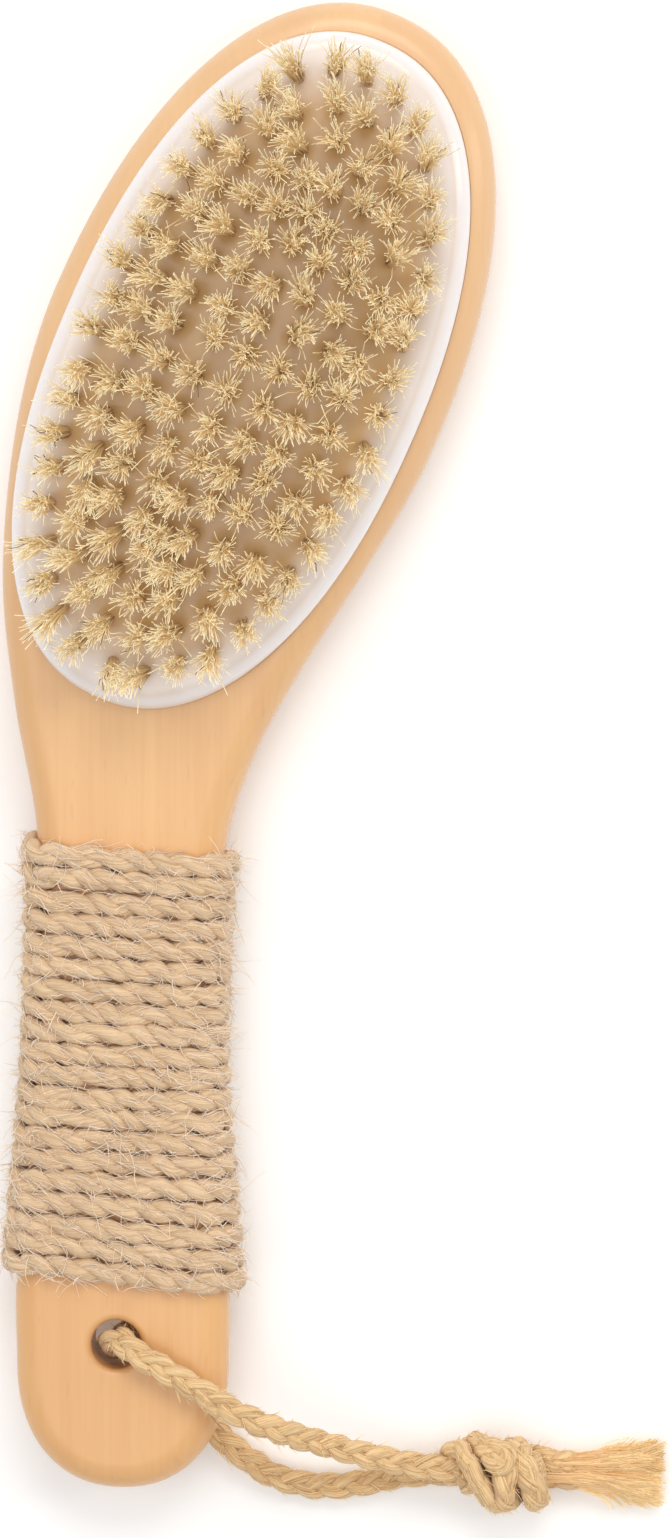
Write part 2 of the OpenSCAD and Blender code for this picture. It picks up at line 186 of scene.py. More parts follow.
def unit(v):
    v = np.asarray(v, dtype=float)
    return v / np.linalg.norm(v, axis=-1, keepdims=True)


def power_sin(q):
    return np.maximum(np.sin(q), 0) ** OVAL_POWER


def signed_power(v):
    return np.sign(v) * np.abs(v) ** OVAL_POWER


class BodyShape:
    """Outline and back of the wooden body, in the frame of the CAD model."""

    END_ROWS = 26
    SPAN_ROWS = 8

    def __init__(self):
        s = self.sizes = bpy.context.scene.brush_wood
        twine = bpy.context.scene.brush_twine
        cord = bpy.context.scene.brush_cord
        rows = np.array(self.butt_rows(s) + self.span_rows(s) + self.crown_rows(s))
        edge = np.concatenate([self.side(rows, -1), self.side(rows, 1)])
        middle = (edge.min(axis=0) + edge.max(axis=0)) / 2
        rows[:, :2] -= middle
        self.rows = rows
        self.neck_y = -middle[1]
        self.head_at = np.array([s.head_shift, s.shoulder_len]) - middle
        self.hole_at = np.array([s.hole_off, s.hole_up - s.handle_len]) - middle
        self.twine_lift = twine.thickness - TWINE_BITE + FLOOR_GAP
        self.butt_lift = cord.diameter + 2 * CORD_GAP
        self.wrap_down = twine.down
        self.rise_run = RISE_ABOVE_NECK + twine.down - twine.width

    @staticmethod
    def stations(s):
        def on_handle(t, shift, lean, half):
            return shift * s.head_shift, -s.handle_len * t, lean * s.head_lean, half

        def on_shoulder(t, shift, lean, widening):
            half = mix(s.neck_w, s.head_w, widening) / 2
            return shift * s.head_shift, s.shoulder_len * t, lean * s.head_lean, half

        return [
            on_handle(1.2, 0, 0, s.butt_w / 2),
            on_handle(1, 0, 0, s.butt_w / 2),
            on_handle(0.83, 0, 0.04, s.butt_w / 2),
            on_handle(0.52, 0.01, 0.06, mix(s.waist_w, s.butt_w, 0.26) / 2),
            on_handle(0.3, 0.03, 0.09, s.waist_w / 2),
            on_handle(0, 0.08, 0.22, s.neck_w / 2),
            on_shoulder(0.24, 0.11, 0.54, 0.26),
            on_shoulder(0.47, 0.25, 0.8, 0.57),
            on_shoulder(0.75, 0.6, 0.95, 0.87),
            on_shoulder(1, 1, 1, 1),
            on_shoulder(1.25, 1.42, 1, 0.87),
        ]

    def butt_rows(self, s):
        steps = np.arange(self.END_ROWS) / self.END_ROWS * math.pi / 2
        return [
            (0, -s.handle_len - s.butt_len * power_sin(math.pi / 2 - q), 0, s.butt_w / 2 * power_sin(q))
            for q in steps
        ]

    def span_rows(self, s):
        points = np.array(self.stations(s))
        return [
            tuple(curve_between(points[i - 1 : i + 3], k / self.SPAN_ROWS))
            for i in range(1, len(points) - 2)
            for k in range(self.SPAN_ROWS)
        ]

    def crown_rows(self, s):
        rows = []
        for q in np.arange(self.END_ROWS + 1) / self.END_ROWS * math.pi / 2:
            t = s.crown_len * power_sin(q)
            x = s.head_shift + t * math.sin(s.head_lean)
            y = s.shoulder_len + t * math.cos(s.head_lean)
            rows.append((x, y, s.head_lean, s.head_w / 2 * power_sin(math.pi / 2 - q)))
        return rows

    @staticmethod
    def side(rows, sign):
        x = rows[:, 0] + sign * rows[:, 3] * np.cos(rows[:, 2])
        y = rows[:, 1] - sign * rows[:, 3] * np.sin(rows[:, 2])
        return np.stack([x, y], axis=1)

    def back_z(self, y):
        handle_len = self.sizes.handle_len
        return self.twine_lift * smooth((self.neck_y + RISE_ABOVE_NECK - y) / self.rise_run) + (
            self.butt_lift - self.twine_lift
        ) * smooth((self.neck_y - self.wrap_down - y) / (handle_len - self.wrap_down))

    def half_at(self, y):
        return np.interp(y, self.rows[:, 1], self.rows[:, 3])

    def middle_at(self, y):
        return np.interp(y, self.rows[:, 1], self.rows[:, 0])

    def on_head(self, points):
        """Points given from the middle of the head, along its lean, as points of the frame."""
        points = np.asarray(points, dtype=float)
        c, s = math.cos(self.sizes.head_lean), math.sin(self.sizes.head_lean)
        out = points.copy()
        out[..., 0] = points[..., 0] * c + points[..., 1] * s + self.head_at[0]
        out[..., 1] = -points[..., 0] * s + points[..., 1] * c + self.head_at[1]
        return out

    def turned_with_head(self, directions):
        return self.on_head(directions) - self.on_head(np.zeros_like(directions))


def curve_between(four, t):
    """Smooth curve through the middle two of four points."""
    a, b, c, d = four
    return b + ((c - a) * t + (2 * a - 5 * b + 4 * c - d) * t * t + (3 * b - a - 3 * c + d) * t**3) / 2


def smooth_path(points, steps):
    """A path through the points, with that many steps between each pair."""
    p = np.asarray(points, dtype=float)
    p = np.vstack([2 * p[0] - p[1], p, 2 * p[-1] - p[-2]])
    path = [curve_between(p[i - 1 : i + 3], k / steps) for i in range(1, len(p) - 2) for k in range(steps)]
    return np.array(path + [p[-2]])


def run_along(path):
    """How far along the path each of its points is."""
    return np.concatenate([[0], np.cumsum(np.linalg.norm(np.diff(path, axis=0), axis=1))])


def even_path(path, step):
    """The same path with its points evenly spaced."""
    run = run_along(path)
    count = max(2, int(round(run[-1] / step)) + 1)
    at = np.linspace(0, run[-1], count)
    return np.stack([np.interp(at, run, path[:, i]) for i in range(3)], axis=1)


def path_frames(path, up):
    """Tangents and two directions across the path, carried along without twisting from its last point."""
    tangents = unit(np.gradient(path, axis=0))
    ups = np.zeros_like(path)
    u = np.asarray(up, dtype=float)
    for i in range(len(path) - 1, -1, -1):
        u = unit(u - tangents[i] * (u @ tangents[i]))
        ups[i] = u
    return tangents, np.cross(ups, tangents), ups


class PadShape:
    """Oval pad and the places of its tufts, from the middle of the head."""

    ROUND_END = math.radians(75)

    def __init__(self, body):
        self.body = body
        s = self.sizes = bpy.context.scene.brush_pad
        tufts = bpy.context.scene.brush_tufts
        wood = body.sizes
        self.half_w = wood.head_w / 2 - s.side_rim
        self.half_l = wood.crown_len - s.crown_rim
        self.base_z = wood.head_t - s.recess_d + s.glue_t
        self.shoulder_z = wood.head_t + s.proud
        self.dome_inset = self.round_inset(self.ROUND_END)
        self.ring_half = np.array([self.half_w - tufts.ring_inset, self.half_l - tufts.ring_inset])
        self.rings = int(self.ring_half[0] // tufts.ring_step)
        self.tufts = tufts

    def round_inset(self, q):
        return self.sizes.gap + self.sizes.rounding * (1 - math.cos(q))

    def round_z(self, q):
        return self.shoulder_z - self.sizes.rounding * (1 - math.sin(q))

    def dome_z(self, share):
        return self.round_z(self.ROUND_END) + self.sizes.dome_rise * (1 - share * share)

    def oval(self, inset, count):
        q = np.linspace(0, 2 * math.pi, count, endpoint=False)
        wide, long = self.half_w - inset, self.half_l - inset
        return np.stack([wide * signed_power(np.cos(q)), long * signed_power(np.sin(q))], axis=1)

    def dome_share(self, p):
        return (
            (np.abs(p[..., 0]) / (self.half_w - self.dome_inset)) ** OVAL
            + (np.abs(p[..., 1]) / (self.half_l - self.dome_inset)) ** OVAL
        ) ** (1 / OVAL)

    def ring_point(self, k, q):
        half = self.ring_half - k * self.tufts.ring_step
        return np.stack([half[0] * signed_power(np.sin(q)), half[1] * signed_power(np.cos(q))], axis=-1)

    def ring_tufts(self, k):
        """Places of the tufts of one ring, or of the middle line after the last ring."""
        if k == self.rings:
            reach = self.ring_half[1] - k * self.tufts.ring_step
            count = int(2 * reach // self.tufts.pitch)
            return np.array([[0, reach * (2 * i / count - 1)] for i in range(count + 1)])
        q = np.linspace(0, 2 * math.pi, 121)
        run = run_along(self.ring_point(k, q))
        count = int(round(run[-1] / self.tufts.pitch))
        at = run[-1] * (np.arange(count) + 0.5 * (k % 2)) / count
        return self.ring_point(k, np.interp(at, run, q))

    def tuft_axes(self, p):
        along = -self.tufts.fan_long * p[:, 1] / self.ring_half[1]
        across = self.tufts.fan_cross * p[:, 0] / self.ring_half[0] - self.tufts.sweep
        level = np.cos(along)
        return np.stack([np.sin(across) * level, -np.sin(along), np.cos(across) * level], axis=1)

    def tuft_groups(self):
        """Name, places and directions of each group of tufts that the CAD holds as one node."""
        groups = []
        for k in range(self.rings + 1):
            p = self.ring_tufts(k)
            right = p[:, 0] > -0.03 * MM
            sides = [("middle", p)] if k == self.rings else [
                (f"ring_{k + 1}_left", p[~right]),
                (f"ring_{k + 1}_right", p[right]),
            ]
            for name, places in sides:
                z = self.dome_z(self.dome_share(places))
                roots = self.body.on_head(np.column_stack([places, z]))
                groups.append((name, roots, self.body.turned_with_head(self.tuft_axes(places))))
        return groups


# ---------------------------------------------------------------- meshes


class MeshMaker:
    """Gathers points, faces and point attributes, and turns them into one mesh."""

    def __init__(self):
        self.points = []
        self.faces = []
        self.around = []
        self.arc = []
        self.tone = []
        self.flow = []
        self.count = 0

    def add(self, points, faces, around, arc, flow, tone=0.5):
        n = len(points)
        self.points.append(np.asarray(points, dtype=float))
        self.faces.extend([tuple(int(i) + self.count for i in face) for face in faces])
        self.around.append(around)
        self.arc.append(arc)
        self.flow.append(flow)
        self.tone.append(np.full(n, tone) if np.isscalar(tone) else tone)
        self.count += n

    def tube(self, path, radii, sides, tone=0.5, up=(0, 0, 1), arc_start=0.0):
        """A closed round tube along a path. radii is one number, or one for each point."""
        tangents, across, ups = path_frames(path, up)
        radii = np.broadcast_to(radii, len(path))
        q = np.linspace(0, 2 * math.pi, sides, endpoint=False)
        ring = across[:, None, :] * np.cos(q)[None, :, None] + ups[:, None, :] * np.sin(q)[None, :, None]
        points = (path[:, None, :] + ring * radii[:, None, None]).reshape(-1, 3)
        run = arc_start + run_along(path)
        around = np.tile(np.stack([np.cos(q), np.sin(q), q * 0], axis=1), (len(path), 1))
        caps = np.array([path[0] - tangents[0] * radii[0] * 0.5, path[-1] + tangents[-1] * radii[-1] * 0.5])
        n = len(path) * sides
        faces = band_faces(len(path), sides)
        faces += [((i + 1) % sides, i, n) for i in range(sides)]
        faces += [(n - sides + i, n - sides + (i + 1) % sides, n + 1) for i in range(sides)]
        self.add(
            np.vstack([points, caps]),
            faces,
            around=np.vstack([around, np.zeros((2, 3))]),
            arc=np.concatenate([np.repeat(run, sides), [run[0], run[-1]]]),
            flow=np.vstack([np.repeat(tangents, sides, axis=0), tangents[:1], tangents[-1:]]),
            tone=tone,
        )

    def mesh(self, name):
        mesh = bpy.data.meshes.new(name)
        mesh.from_pydata(np.vstack(self.points).tolist(), [], self.faces)
        write_attribute(mesh, "around", "FLOAT_VECTOR", np.vstack(self.around))
        write_attribute(mesh, "arc", "FLOAT", np.concatenate(self.arc))
        write_attribute(mesh, "tone", "FLOAT", np.concatenate(self.tone))
        write_attribute(mesh, "flow", "FLOAT_VECTOR", np.vstack(self.flow))
        write_attribute(mesh, "skin", "FLOAT", np.ones(self.count))
        mesh.validate()
        mesh.shade_smooth()
        return mesh


def band_faces(rings, sides):
    return [
        (k * sides + i, k * sides + (i + 1) % sides, (k + 1) * sides + (i + 1) % sides, (k + 1) * sides + i)
        for k in range(rings - 1)
        for i in range(sides)
    ]


def write_attribute(mesh, name, kind, values):
    attribute = mesh.attributes.new(name, kind, "POINT")
    key = "vector" if kind == "FLOAT_VECTOR" else "value"
    attribute.data.foreach_set(key, np.asarray(values, dtype=np.float32).ravel())


def place(name, mesh, material=None):
    """An object at the origin that shows the mesh."""
    obj = bpy.data.objects.new(name, mesh)
    bpy.context.scene.collection.objects.link(obj)
    if material is not None:
        mesh.materials.clear()
        mesh.materials.append(material)
    return obj


def stack_of_rings(name, rings, first_cap, last_cap):
    """A closed mesh from rings of points. A cap is a list of faces over one ring, or None for one flat face."""
    sides = len(rings[0])
    points = np.vstack(rings)
    start = (len(rings) - 1) * sides
    faces = band_faces(len(rings), sides)
    faces += first_cap or [tuple(range(sides - 1, -1, -1))]
    faces += last_cap or [tuple(range(start, start + sides))]
    mesh = bpy.data.meshes.new(name)
    mesh.from_pydata(points.tolist(), [], faces)
    mesh.validate()
    return mesh


def evaluated(obj):
    """The object's mesh with its modifiers in it, as a new mesh. The object goes."""
    bpy.context.view_layer.update()
    graph = bpy.context.evaluated_depsgraph_get()
    result = obj.evaluated_get(graph)
    mesh = bpy.data.meshes.new_from_object(result, preserve_all_data_layers=True, depsgraph=graph)
    bpy.data.objects.remove(obj)
    return mesh


def without(blank, cutters):
    """The blank's mesh with the cutters taken out of it, shaded smooth up to its sharp edges."""
    for cutter in cutters:
        cut = blank.modifiers.new(cutter.name, "BOOLEAN")
        cut.operation = "DIFFERENCE"
        cut.solver = "EXACT"
        cut.object = cutter
    mesh = evaluated(blank)
    for cutter in cutters:
        bpy.data.objects.remove(cutter)
    mesh.shade_smooth()
    mesh.set_sharp_from_angle(angle=math.radians(38))
    weighted = place("weighted", mesh)
    weighted.modifiers.new("even", "WEIGHTED_NORMAL").keep_sharp = True
    return evaluated(weighted)


# ---------------------------------------------------------------- geometry node trees


class Nodes:
    """Short calls that add nodes to self.tree."""

    def connect(self, socket, value):
        """Links the socket to another node's socket, or sets it to a constant."""
        if isinstance(value, bpy.types.NodeSocket):
            self.tree.links.new(value, socket)
        else:
            socket.default_value = value

    def node(self, kind, values=None, **settings):
        """A node with its settings, and its inputs linked or set by name or number."""
        node = self.tree.nodes.new(kind)
        for key, value in settings.items():
            setattr(node, key, value)
        for key, value in (values or {}).items():
            named = (i for i in node.inputs if i.name == key and i.enabled)
            self.connect(node.inputs[key] if isinstance(key, int) else next(named), value)
        return node

    def out(self, kind, values=None, pick=0, **settings):
        """The first output in use of a new node, or the one picked."""
        node = self.node(kind, values, **settings)
        return next(o for o in node.outputs if o.enabled) if pick == 0 else node.outputs[pick]

    def group(self, inner, values, pick=0):
        node = self.tree.nodes.new(self.GROUP)
        node.node_tree = inner
        for key, value in values.items():
            self.connect(node.inputs[key], value)
        return node.outputs[pick]

    def scaled(self, v, factor):
        return self.out("ShaderNodeVectorMath", {0: v, "Scale": factor}, operation="SCALE")

    def ranged(self, value, low=0.0, high=1.0, to_low=0.0, to_high=1.0):
        """The value with low to high drawn out over to_low to to_high, and held there past them."""
        values = {"Value": value, "From Min": low, "From Max": high, "To Min": to_low, "To Max": to_high}
        return self.out("ShaderNodeMapRange", values)

    def noise(self, where, **values):
        """Noise at its own scale, as a node. Where it is read sets how fine it is."""
        return self.node("ShaderNodeTexNoise", {"Vector": where, "Scale": 1.0, **values})

    def stretched(self, where, scale):
        return self.out("ShaderNodeMapping", {"Vector": where, "Scale": scale})


class Tree(Nodes):
    """A node group that is built up from its named inputs."""

    GROUP = "GeometryNodeGroup"

    def __init__(self, name, kind="GeometryNodeTree"):
        self.tree = bpy.data.node_groups.new(name, kind)
        self.entry = self.tree.nodes.new("NodeGroupInput")
        self.exit = self.tree.nodes.new("NodeGroupOutput")

    def input(self, name, kind, default=None):
        item = self.tree.interface.new_socket(name, in_out="INPUT", socket_type=kind)
        if default is not None:
            item.default_value = default
        return self.entry.outputs[name]

    def output(self, name, kind, value):
        self.tree.interface.new_socket(name, in_out="OUTPUT", socket_type=kind)
        self.tree.links.new(value, self.exit.inputs[name])

    def math(self, operation, a, b=0.0):
        return self.out("ShaderNodeMath", {0: a, 1: b}, operation=operation)

    def vector(self, operation, a, b=(0, 0, 0)):
        return self.out("ShaderNodeVectorMath", {0: a, 1: b}, operation=operation)

    def dot(self, a, b):
        return self.out("ShaderNodeVectorMath", {0: a, 1: b}, pick=1, operation="DOT_PRODUCT")

    def product(self, *factors):
        return reduce(lambda a, b: self.math("MULTIPLY", a, b), factors)

    def random(self, low, high, seed, number=0):
        """A random value, or a vector if low is one. Each number makes a series of its own from one seed."""
        seed = self.math("ADD", seed, number) if number else seed
        kind = "FLOAT_VECTOR" if isinstance(low, tuple) else "FLOAT"
        return self.out("FunctionNodeRandomValue", {"Min": low, "Max": high, "Seed": seed}, data_type=kind)

    def named(self, name, kind="FLOAT"):
        return self.out("GeometryNodeInputNamedAttribute", {"Name": name}, data_type=kind)

    def store(self, geometry, name, value, kind="FLOAT"):
        return self.out(
            "GeometryNodeStoreNamedAttribute",
            {"Geometry": geometry, "Name": name, "Value": value},
            data_type=kind,
            domain="POINT",
        )

    def as_hairs(self, points, root, run, bow, thick, tone):
        """The points with what the tree of tapered hairs reads from them."""
        for name, value in (("hair_root", root), ("hair_run", run), ("hair_bow", bow)):
            points = self.store(points, name, value, "FLOAT_VECTOR")
        return self.store(self.store(points, "hair_thick", thick), "tone", tone)

    def noise_line(self, along, detail):
        values = {"W": along, "Scale": 1.0, "Detail": detail}
        return self.node("ShaderNodeTexNoise", values, noise_dimensions="1D").outputs[0]

    def shifted(self, geometry, **where):
        return self.out("GeometryNodeSetPosition", {"Geometry": geometry, **where})

    def raised(self, geometry, lowest):
        """The geometry with all that is lower than lowest lifted up to it."""
        here = self.out("GeometryNodeInputPosition")
        height = self.node("ShaderNodeSeparateXYZ", {"Vector": here}).outputs["Z"]
        lift = self.math("MAXIMUM", self.math("SUBTRACT", lowest, height), 0.0)
        return self.shifted(geometry, Offset=self.out("ShaderNodeCombineXYZ", {"Z": lift}))

    def swept(self, curve, radius, profile):
        """A tube of that radius along the curve."""
        curve = self.out("GeometryNodeSetCurveRadius", {"Curve": curve, "Radius": radius})
        values = {"Curve": curve, "Profile Curve": profile, "Fill Caps": True}
        sweep = self.node("GeometryNodeCurveToMesh", values)
        if "Scale" in sweep.inputs:
            self.tree.links.new(radius, sweep.inputs["Scale"])
        return sweep.outputs[0]


# How closely a hair curls, and how fast the twine's twist and its plies' thickness wander along it
CURLS_PER_METRE = 420.0
TWIST_WANDER_PER_METRE = 70.0
PLY_WANDER_PER_METRE = 260.0

# How deep a bristle starts in the pad, and one of the few wild ones against the rest
BRISTLE_SUNK = 1.0 * MM
WILD_POWER = 14.0
WILD_SHARE = 1.1
CALM_SHARE = 0.4


def hair_tree():
    """Turns points into tapered hairs. Each point holds hair_root, hair_run, hair_bow and hair_thick."""
    t = Tree("Tapered hairs")
    points = t.input("Points", "NodeSocketGeometry")
    steps = t.input("Steps", "NodeSocketInt", 7)
    sides = t.input("Sides", "NodeSocketInt", 4)
    taper = t.input("Taper", "NodeSocketFloat", 0.5)
    bend = t.input("Bend", "NodeSocketFloat", 2.0)
    curl = t.input("Curl", "NodeSocketFloat", 0.0)
    lowest = t.input("Lowest", "NodeSocketFloat", 0.15 * MM)
    material = t.input("Material", "NodeSocketMaterial")
    line = t.out("GeometryNodeCurvePrimitiveLine")
    line = t.out("GeometryNodeResampleCurve", {"Curve": line, "Count": steps})
    hairs = t.out("GeometryNodeInstanceOnPoints", {"Points": points, "Instance": line})
    hairs = t.out("GeometryNodeRealizeInstances", {"Geometry": hairs})
    along = t.out("GeometryNodeSplineParameter")
    run = t.scaled(t.named("hair_run", "FLOAT_VECTOR"), along)
    bow = t.scaled(t.named("hair_bow", "FLOAT_VECTOR"), t.math("POWER", along, bend))
    place_at = t.vector("ADD", t.vector("ADD", t.named("hair_root", "FLOAT_VECTOR"), run), bow)
    hairs = t.shifted(hairs, Position=place_at)
    wander = t.noise(t.scaled(t.out("GeometryNodeInputPosition"), CURLS_PER_METRE), Detail=0.0).outputs[1]
    wander = t.scaled(t.vector("SUBTRACT", wander, (0.5, 0.5, 0.5)), t.math("MULTIPLY", curl, along))
    hairs = t.raised(t.shifted(hairs, Offset=wander), lowest)
    hairs = t.store(hairs, "along", along)
    narrowing = t.math("SUBTRACT", 1.0, t.math("MULTIPLY", along, taper))
    radius = t.product(t.named("hair_thick"), 0.5, narrowing)
    profile = t.out("GeometryNodeCurvePrimitiveCircle", {"Resolution": sides, "Radius": 1.0})
    mesh = t.out("GeometryNodeSetShadeSmooth", {"Geometry": t.swept(hairs, radius, profile)})
    mesh = t.out("GeometryNodeSetMaterial", {"Geometry": mesh, "Material": material})
    t.output("Hairs", "NodeSocketGeometry", mesh)
    return t.tree


def tuft_tree(hairs):
    """Grows a tuft of bristles on each point, along the point's axis."""
    t = Tree("Bristle tufts")
    points = t.input("Points", "NodeSocketGeometry")
    count = t.input("Bristles", "NodeSocketInt", 40)
    root_r = t.input("Root radius", "NodeSocketFloat", 1 * MM)
    tip_r = t.input("Tip radius", "NodeSocketFloat", 2.4 * MM)
    reach = t.input("Free length", "NodeSocketFloat", 13 * MM)
    thick = t.input("Thickness", "NodeSocketFloat", 0.25 * MM)
    seed = t.input("Seed", "NodeSocketInt", 1)
    material = t.input("Material", "NodeSocketMaterial")
    p = t.out("GeometryNodeDuplicateElements", {"Geometry": points, "Amount": count}, domain="POINT")
    turn = t.random(0.0, 2 * math.pi, seed)
    out = t.math("SQRT", t.random(0.0, 1.0, seed, 11))
    away = t.out("ShaderNodeCombineXYZ", {"X": t.math("COSINE", turn), "Y": t.math("SINE", turn)})
    away = t.scaled(away, out)
    axis = t.named("axis", "FLOAT_VECTOR")
    here = t.out("GeometryNodeInputPosition")
    root = t.vector("ADD", t.vector("SUBTRACT", here, t.scaled(axis, BRISTLE_SUNK)), t.scaled(away, root_r))
    wild = t.random(0.0, 1.0, seed, 23)
    wild = t.math("ADD", t.product(t.math("POWER", wild, WILD_POWER), WILD_SHARE), CALM_SHARE)
    stray = t.scaled(t.random((-1, -1, -0.1), (1, 1, 0.1), seed, 31), t.product(tip_r, wild))
    share = t.random(0.78, 1.03, seed, 47)
    full = t.product(t.math("ADD", reach, BRISTLE_SUNK), share, t.named("height"))
    opened = t.scaled(away, t.math("SUBTRACT", tip_r, root_r))
    run = t.vector("ADD", t.scaled(axis, full), t.vector("ADD", t.scaled(opened, 0.5), t.scaled(stray, 0.2)))
    bow = t.vector("ADD", t.scaled(opened, 0.5), t.scaled(stray, 0.95))
    thick = t.product(thick, t.random(0.75, 1.2, seed, 59))
    p = t.as_hairs(p, root, run, bow, thick, t.random(0.0, 1.0, seed, 61))
    shape = {"Steps": 7, "Sides": 3, "Taper": 0.05, "Bend": 4.0, "Curl": 1.3 * MM}
    t.output("Tufts", "NodeSocketGeometry", t.group(hairs, {"Points": p, "Material": material, **shape}))
    return t.tree


def twine_tree():
    """Winds two plies round the path of the twine. Each point of the path holds out, away from the wood."""
    t = Tree("Two-ply twine")
    path = t.input("Path", "NodeSocketGeometry")
    step = t.input("Step", "NodeSocketFloat", 0.8 * MM)
    lay = t.input("Twist length", "NodeSocketFloat", 10 * MM)
    width = t.input("Width", "NodeSocketFloat", 3.6 * MM)
    thickness = t.input("Thickness", "NodeSocketFloat", 2.5 * MM)
    lowest = t.input("Lowest", "NodeSocketFloat", 0.05 * MM)
    seed = t.input("Seed", "NodeSocketFloat", 1.0)
    material = t.input("Material", "NodeSocketMaterial")
    curve = t.out("GeometryNodeMeshToCurve", {"Mesh": path})
    curve = t.out("GeometryNodeResampleCurve", {"Curve": curve, "Length": step}, mode="LENGTH")
    arc = t.node("GeometryNodeSplineParameter").outputs["Length"]
    curve = t.store(curve, "arc", arc)
    arc = t.named("arc")
    outward = t.vector("NORMALIZE", t.named("out", "FLOAT_VECTOR"))
    tangent = t.out("GeometryNodeInputTangent")
    sideways = t.vector("CROSS_PRODUCT", tangent, outward)
    curve = t.store(curve, "ply_out", outward, "FLOAT_VECTOR")
    curve = t.store(curve, "ply_side", sideways, "FLOAT_VECTOR")
    slow = t.noise_line(t.math("ADD", t.product(arc, TWIST_WANDER_PER_METRE), seed), 1.0)
    uneven = t.math("SUBTRACT", slow, 0.5)
    plies = []
    join = t.tree.nodes.new("GeometryNodeJoinGeometry")
    for ply in range(2):
        turn = t.product(t.math("DIVIDE", arc, lay), 2 * math.pi)
        turn = t.math("ADD", turn, t.product(uneven, 5.0))
        turn = t.math("ADD", turn, ply * math.pi)
        rise = t.scaled(t.named("ply_out", "FLOAT_VECTOR"), t.product(t.math("COSINE", turn), thickness, 0.24))
        reach = t.scaled(t.named("ply_side", "FLOAT_VECTOR"), t.product(t.math("SINE", turn), width, 0.23))
        bulge = t.noise_line(t.math("ADD", t.product(arc, PLY_WANDER_PER_METRE), ply * 31.7), 2.0)
        radius = t.product(t.product(width, 0.365), t.math("ADD", 0.72, t.product(bulge, 0.56)))
        strand = t.shifted(curve, Offset=t.vector("ADD", rise, reach))
        profile = t.out("GeometryNodeCurvePrimitiveCircle", {"Resolution": 10, "Radius": 1.0})
        profile = t.store(profile, "around", t.out("GeometryNodeInputPosition"), "FLOAT_VECTOR")
        strand = t.store(strand, "tone", t.math("ADD", t.product(bulge, 0.6), 0.15 + 0.1 * ply))
        strand = t.store(strand, "flow", t.out("GeometryNodeInputTangent"), "FLOAT_VECTOR")
        facing = t.dot(t.out("GeometryNodeInputNormal"), t.named("ply_out", "FLOAT_VECTOR"))
        plies.append(t.store(t.swept(strand, radius, profile), "skin", t.ranged(facing, -0.2, 0.4)))
    for ply in plies:
        t.tree.links.new(ply, join.inputs[0])
    mesh = t.raised(join.outputs[0], lowest)
    mesh = t.out("GeometryNodeSetShadeSmooth", {"Geometry": mesh})
    mesh = t.out("GeometryNodeRealizeInstances", {"Geometry": mesh})
    mesh = t.out("GeometryNodeSetMaterial", {"Geometry": mesh, "Material": material})
    t.output("Twine", "NodeSocketGeometry", mesh)
    return t.tree


def fuzz_tree(hairs):
    """Scatters loose fibres over a surface: most lie along it, and a few stand off."""
    t = Tree("Loose fibres")
    surface = t.input("Surface", "NodeSocketGeometry")
    density = t.input("Density", "NodeSocketFloat", 100000.0)
    size = t.input("Length", "NodeSocketFloat", 4 * MM)
    lift = t.input("Lift", "NodeSocketFloat", 1 * MM)
    thick = t.input("Thickness", "NodeSocketFloat", 0.07 * MM)
    combed = t.input("Combed", "NodeSocketFloat", 0.0)
    seed = t.input("Seed", "NodeSocketInt", 1)
    material = t.input("Material", "NodeSocketMaterial")
    density = t.math("MULTIPLY", density, t.named("skin"))
    scatter = t.node("GeometryNodeDistributePointsOnFaces", {"Mesh": surface, "Density": density, "Seed": seed})
    p = scatter.outputs["Points"]
    normal = scatter.outputs["Normal"]
    aside = t.random((-1, -1, -1), (1, 1, 1), seed, 5)
    aside = t.vector("SUBTRACT", aside, t.scaled(normal, t.dot(aside, normal)))
    reach = t.product(t.math("POWER", t.random(0.35, 1.0, seed, 7), 2.0), size)
    flow = t.scaled(t.named("flow", "FLOAT_VECTOR"), t.product(combed, reach))
    aside = t.scaled(aside, t.product(t.math("SUBTRACT", 1.0, combed), reach))
    stand = t.scaled(normal, t.product(lift, t.random(0.4, 1.3, seed, 9)))
    run = t.vector("ADD", t.vector("ADD", aside, flow), stand)
    swing = t.random((-1, -1, -1), (1, 1, 1), seed, 13)
    swing = t.scaled(swing, t.product(reach, t.math("SUBTRACT", 0.6, t.product(combed, 0.5))))
    bow = t.vector("SUBTRACT", swing, t.scaled(normal, t.product(lift, 0.35)))
    here = t.out("GeometryNodeInputPosition")
    thick = t.product(thick, t.random(0.6, 1.3, seed, 17))
    p = t.as_hairs(p, here, run, bow, thick, t.random(0.0, 1.0, seed, 19))
    shape = {"Steps": 5, "Sides": 3, "Taper": 0.6, "Curl": 1.5 * MM}
    t.output("Fibres", "NodeSocketGeometry", t.group(hairs, {"Points": p, "Material": material, **shape}))
    return t.tree


